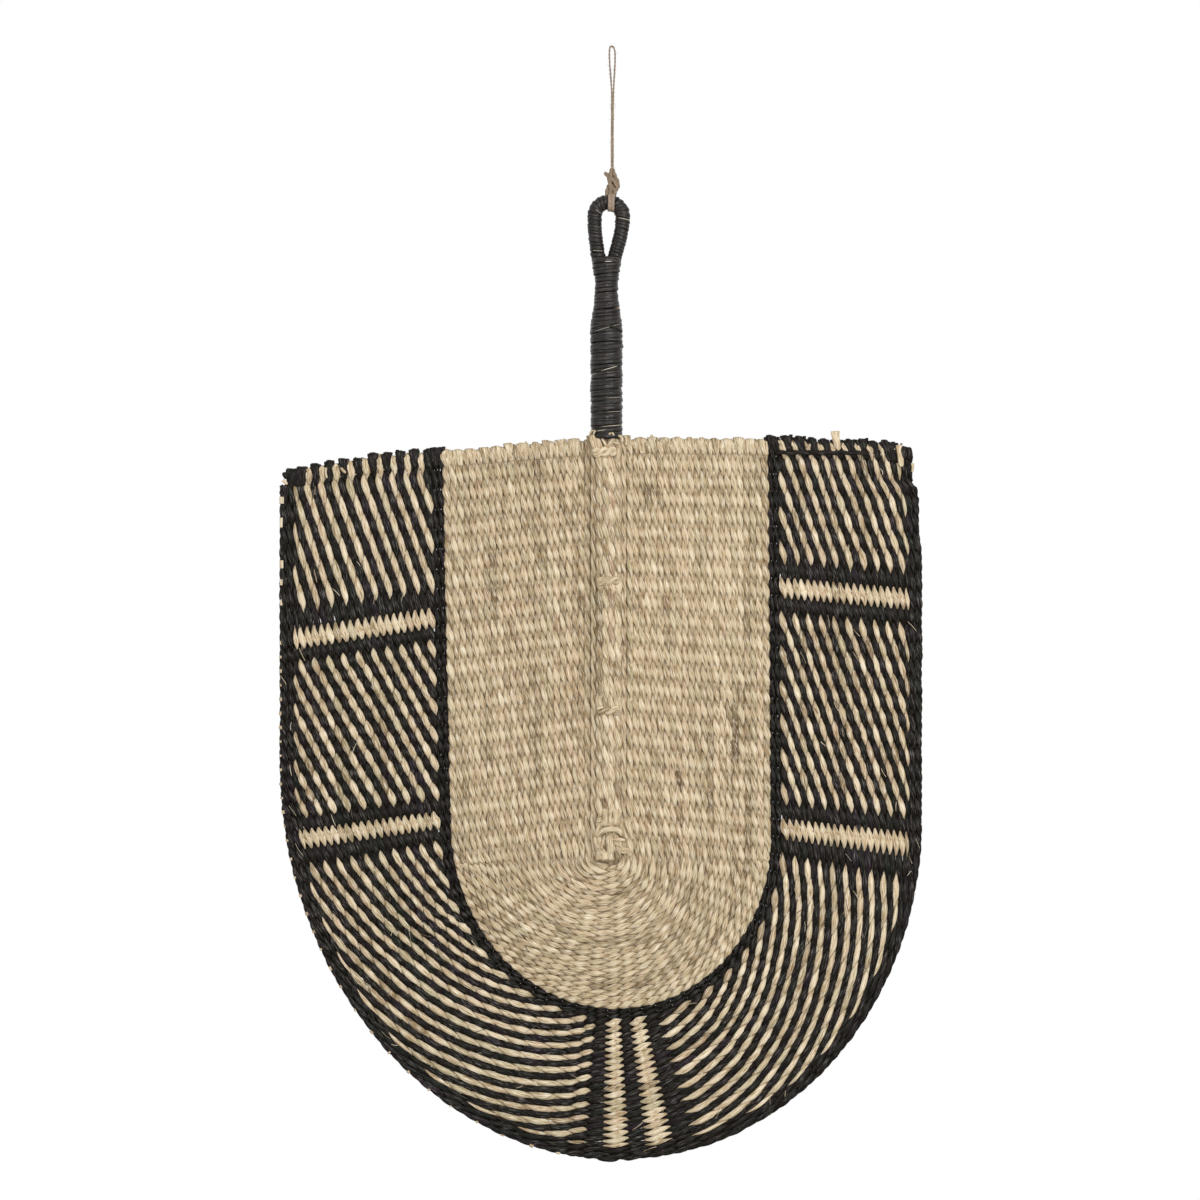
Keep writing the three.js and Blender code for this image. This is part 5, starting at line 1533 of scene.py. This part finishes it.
class FAN_OT_ties(bpy.types.Operator):
    """Sews the binding at the grip, the three stitches over the ridge and the knots at its foot"""

    bl_idname = "fan.ties"
    bl_label = "Binding, stitches and foot knots"

    def execute(self, context):
        rng = np.random.default_rng(SEEDS["knots"])
        self.binding(rng)
        for number, tilt in ((1, 0.4), (2, -0.3), (3, 0.5)):
            low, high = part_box(f"tie_stitch_{number}")
            y, z = low.y / MM + 0.9 + 0.4, (low.z + high.z) / 2 / MM
            skin = Skin()
            add_plait(skin, (-6.4, y, z - tilt), (6.0, y, z + tilt), 1.75, rng, 0.5)
            self.sewn(skin, f"ridge_stitch_{number}", f"tie_stitch_{number}")
        self.foot(rng)
        return {"FINISHED"}

    def sewn(self, skin, name, node):
        """Makes one piece of natural grass that stands for one node."""
        skin.piece(name, [finish("natural_grass")], "fan", "natural_straw", node)

    def binding(self, rng):
        """A plait across the ridge's top, folded strands above it and a loop beside the grip."""
        z = BLADE_TOP / MM
        skin = Skin()
        add_plait(skin, (-8.6, -6.6, z - 8.6), (4.4, -6.6, z - 7.8), 1.95, rng, 0.75)
        add_tucks(skin, BINDING_TUCKS, UP * z, rng)
        add_tucks(skin, LEVEL_TUCKS, UP * z, rng, wide=UP)
        self.sewn(skin, "top_plait", "top_binding")

    def foot(self, rng):
        """The knots at the ridge's foot, each widest square to its own run."""
        skin = Skin()
        for tuck in FOOT_TUCKS:
            across, _, up = np.abs(np.subtract(tuck[0][0], tuck[0][-1]))
            add_tucks(skin, (tuck,), UP * (HUB_Z / MM), rng, wide=UP if up < across else ACROSS)
        self.sewn(skin, "foot_knots", "foot_knot")


class FAN_OT_stakes(bpy.types.Operator):
    """Lays the stakes and spokes between the strands, with their cut ends outside the rim"""

    bl_idname = "fan.stakes"
    bl_label = "Stakes and spokes"

    def execute(self, context):
        rng = np.random.default_rng(context.scene.fan_weave.seed + SEEDS["stakes"])
        stakes, spokes = Skin(), Skin()
        self.panel_stakes(stakes, rng)
        rim = row_path(ROWS - 1)
        self.zone_stakes(stakes, spokes, rim, rng)
        points, away, width, _ = rim
        for depth, half, thick in LONG_ENDS:
            i = int(np.argmax(points[:, 2] < BLADE_TOP - depth * MM))
            middle = points[i] + away[i] * (0.5 * width[i] - 0.5 * thick * MM) - BACK * 2.1 * MM
            line = middle + np.cross(away[i], BACK) * half * MM * np.linspace(-1, 1, 5)[:, None]
            stakes.blade(rng, line, away[i], thick * MM, 0.5 * MM, 0.8, 0.6)
        for (first, _), (after, _) in zip(SPOKE_TIERS, (*SPOKE_TIERS[1:], (BORDER_ROWS[0], 0))):
            near, far = (at(p, stakes_on(p, first))[0] for p in (row_path(first), row_path(after - 1)))
            turn = slice(PANEL_STAKES, len(near) - PANEL_STAKES)
            for a, b in zip(near[turn], far[turn]):
                self.bar(spokes, np.linspace(a, b + unit(b - a) * 2 * MM, 4), rng)
        stalk = finish("bare_stalk")
        nodes = [n for n in frame["nodes"] if n.startswith("stake_")]
        stakes.piece("stake_bars", [stalk], "fan", "stake_stalk", *nodes)
        spokes.piece("spoke_bars", [stalk], "fan", "stake_stalk", "spokes")
        return {"FINISHED"}

    def zone_stakes(self, stakes, spokes, rim, rng):
        """The striped zone's stakes and spokes, from the border to stubs outside the rim."""
        border = row_path(BORDER_ROWS[0])
        zone_in = at(border, stakes_on(border, BORDER_ROWS[0]))[0]
        legs = (ZONE_LEGS[-1][0][-1], ZONE_STAKES - 1 - ZONE_LEGS[1][0][-1])
        for number, (a, b, away, width) in enumerate(zip(zone_in, *at(rim, stakes_on(rim, ROWS - 1)))):
            stub = b + unit(b - a) * (1.7 + rng.uniform(0.0, 0.5)) * MM
            skin = spokes if legs[0] < number < legs[1] else stakes
            self.bar(skin, np.linspace(a, stub, 5), rng)
            if BENT_ENDS[0] <= number <= BENT_ENDS[1]:
                half = rng.uniform(0.5, 1.1) * MM
                middle = b + away * (0.42 * width + rng.uniform(0.0, 0.4) * MM)
                middle = middle - BACK * rng.uniform(1.7, 2.2) * MM
                line = middle + np.cross(away, BACK) * half * np.linspace(-1, 1, 5)[:, None]
                skin.blade(rng, line, away, rng.uniform(0.7, 1.1) * MM, 0.45 * MM,
                           rng.uniform(0.3, 0.8), 0.75, sides=6)

    def panel_stakes(self, skin, rng):
        """The panel's stakes: from border to border through their depth on the axis."""
        path = row_path(BORDER_ROWS[0] - 1)
        places = at(path, stakes_on(path, BORDER_ROWS[0] - 1))[0]
        for number, depth in enumerate(panel_lines(0, -1)[0][:PANEL_STAKES]):
            middle = np.array([0.0, MID_Y, BLADE_TOP - depth * MM])
            left, right = np.linspace(places[number], middle, 4), np.linspace(middle, places[-1 - number], 4)
            self.bar(skin, np.concatenate([left, right[1:]]), rng)

    def bar(self, skin, line, rng):
        """A thin stalk along a line."""
        skin.blade(rng, line, BACK, 0.62 * MM, 0.66 * MM,
                   rng.normal(0.65, 0.12), rng.normal(0.5, 0.1), sides=6)


class FAN_OT_loose(bpy.types.Operator):
    """Strews loose fibres on the striped zone and lays the strands and knobs on the blade's edges"""

    bl_idname = "fan.loose"
    bl_label = "Loose fibres and edge strands"

    def execute(self, context):
        weave = context.scene.fan_weave
        rng = np.random.default_rng(weave.seed + SEEDS["loose"])
        skin = Skin()
        first = BORDER_ROWS[1] + 1
        paths = [row_path(row) for row in range(first, ROWS)]
        for _ in range(weave.fibres):
            row = int(rng.integers(first, ROWS))
            black = 1 if rng.random() < 0.25 else 0
            self.fibre(skin, paths[row - first], weave.swing + weave.half_depth, rng, black)
        skin.piece("loose_fibres", [finish("natural_grass"), finish("black_grass")], "fan", "natural_straw")
        self.edge_strands(rng)
        return {"FINISHED"}

    def fibre(self, skin, path, depth, rng, black):
        """A short thin blade, arched a little off the strands that it lies on."""
        s = rng.uniform(0.01, path[3][-1] - 0.01)
        middle, outward, _ = (v[0] for v in at(path, np.array([s])))
        direction = unit(np.cross(outward, BACK) + outward * rng.normal(-0.35, 0.5))
        size = rng.uniform(3.0, 8.0) * MM
        face = -1 if rng.random() < 0.7 else 1
        t = np.linspace(-0.5, 0.5, 6)[:, None]
        arch = rng.uniform(0.1, 0.9) * MM * (1 - 4 * t ** 2)
        bow = rng.normal(0, 0.8) * MM * t ** 2
        line = middle + direction * size * t + outward * bow + BACK * face * (depth + arch)
        skin.blade(rng, line, np.cross(direction, BACK), rng.uniform(0.08, 0.22) * MM, 0.06 * MM,
                   rng.uniform(0.55, 1.0), rng.normal(0.5, 0.2), black, sides=4)

    def edge_strands(self, rng):
        """Black strands sewn level along the right top edge, knobs at the corners and foot, and pale ends."""
        skin = Skin()
        levels = (EDGE_LEVEL, RIM_LEVEL)
        on_face, in_rim = (np.array([0.0, MID_Y / MM - out, BLADE_TOP / MM - down]) for out, down in levels)
        for start in SEWN_STARTS:
            add_tucks(skin, SEWN_STRAND, on_face + ACROSS * start, rng, EDGE_FLATNESS, tone=0.4, wide=UP)
        add_tucks(skin, CORNER_KNOBS, on_face, rng, EDGE_FLATNESS, tone=0.45)
        add_tucks(skin, RIM_KNOBS, in_rim, rng, tone=0.5, wide=UP)
        skin.piece("edge_strand", [finish("black_grass")], "fan", "black_straw")
        pale = Skin()
        add_tucks(pale, PALE_ENDS, on_face, rng, EDGE_FLATNESS, tone=0.65, blunt=True)
        pale.piece("edge_ends", [finish("natural_grass")], "fan", "natural_straw")


class FAN_OT_bare_wood(bpy.types.Operator):
    """Gives the cane and the stick inside the windings their bare wood"""

    bl_idname = "fan.bare_wood"
    bl_label = "Cane and stick"

    def execute(self, context):
        wood = finish("bare_wood")
        for name in ("eye_cane", "spine_stick"):
            node = frame["nodes"][name]
            node.data.materials.clear()
            node.data.materials.append(wood)
        return {"FINISHED"}


class FAN_PT_panel(bpy.types.Panel):
    """Lists the fan's settings and the steps that build it"""

    bl_idname = "FAN_PT_panel"
    bl_label = "Twined fan"
    bl_space_type = "VIEW_3D"
    bl_region_type = "UI"
    bl_category = "Fan"

    def draw(self, context):
        for operator in OPERATORS:
            self.layout.operator(operator.bl_idname)
        for name, group in SETTINGS:
            box = self.layout.box()
            box.label(text=group.__doc__)
            for setting in group.__annotations__:
                box.prop(getattr(context.scene, name), setting)


SETTINGS = (
    ("fan_weave", FanWeaveSettings),
    ("fan_winding", FanWindingSettings),
    ("fan_twine", FanTwineSettings),
    ("fan_colours", FanColourSettings),
    ("fan_stage", FanStageSettings),
)
OPERATORS = (
    FAN_OT_stage, FAN_OT_twine, FAN_OT_tie, FAN_OT_bare_wood, FAN_OT_windings, FAN_OT_stakes,
    FAN_OT_courses, FAN_OT_ridge, FAN_OT_ties, FAN_OT_loose,
)


def register():
    """Registers the settings, the operators and the panel."""
    for name, group in SETTINGS:
        bpy.utils.register_class(group)
        setattr(bpy.types.Scene, name, bpy.props.PointerProperty(type=group))
    for operator in (*OPERATORS, FAN_PT_panel):
        bpy.utils.register_class(operator)


def unregister():
    """Takes them away again."""
    for operator in (FAN_PT_panel, *reversed(OPERATORS)):
        bpy.utils.unregister_class(operator)
    for name, group in reversed(SETTINGS):
        delattr(bpy.types.Scene, name)
        bpy.utils.unregister_class(group)


def main():
    """Builds the fan in order."""
    register()
    for operator in OPERATORS:
        getattr(bpy.ops.fan, operator.bl_idname.split(".")[1])()


if __name__ == "__main__":
    main()
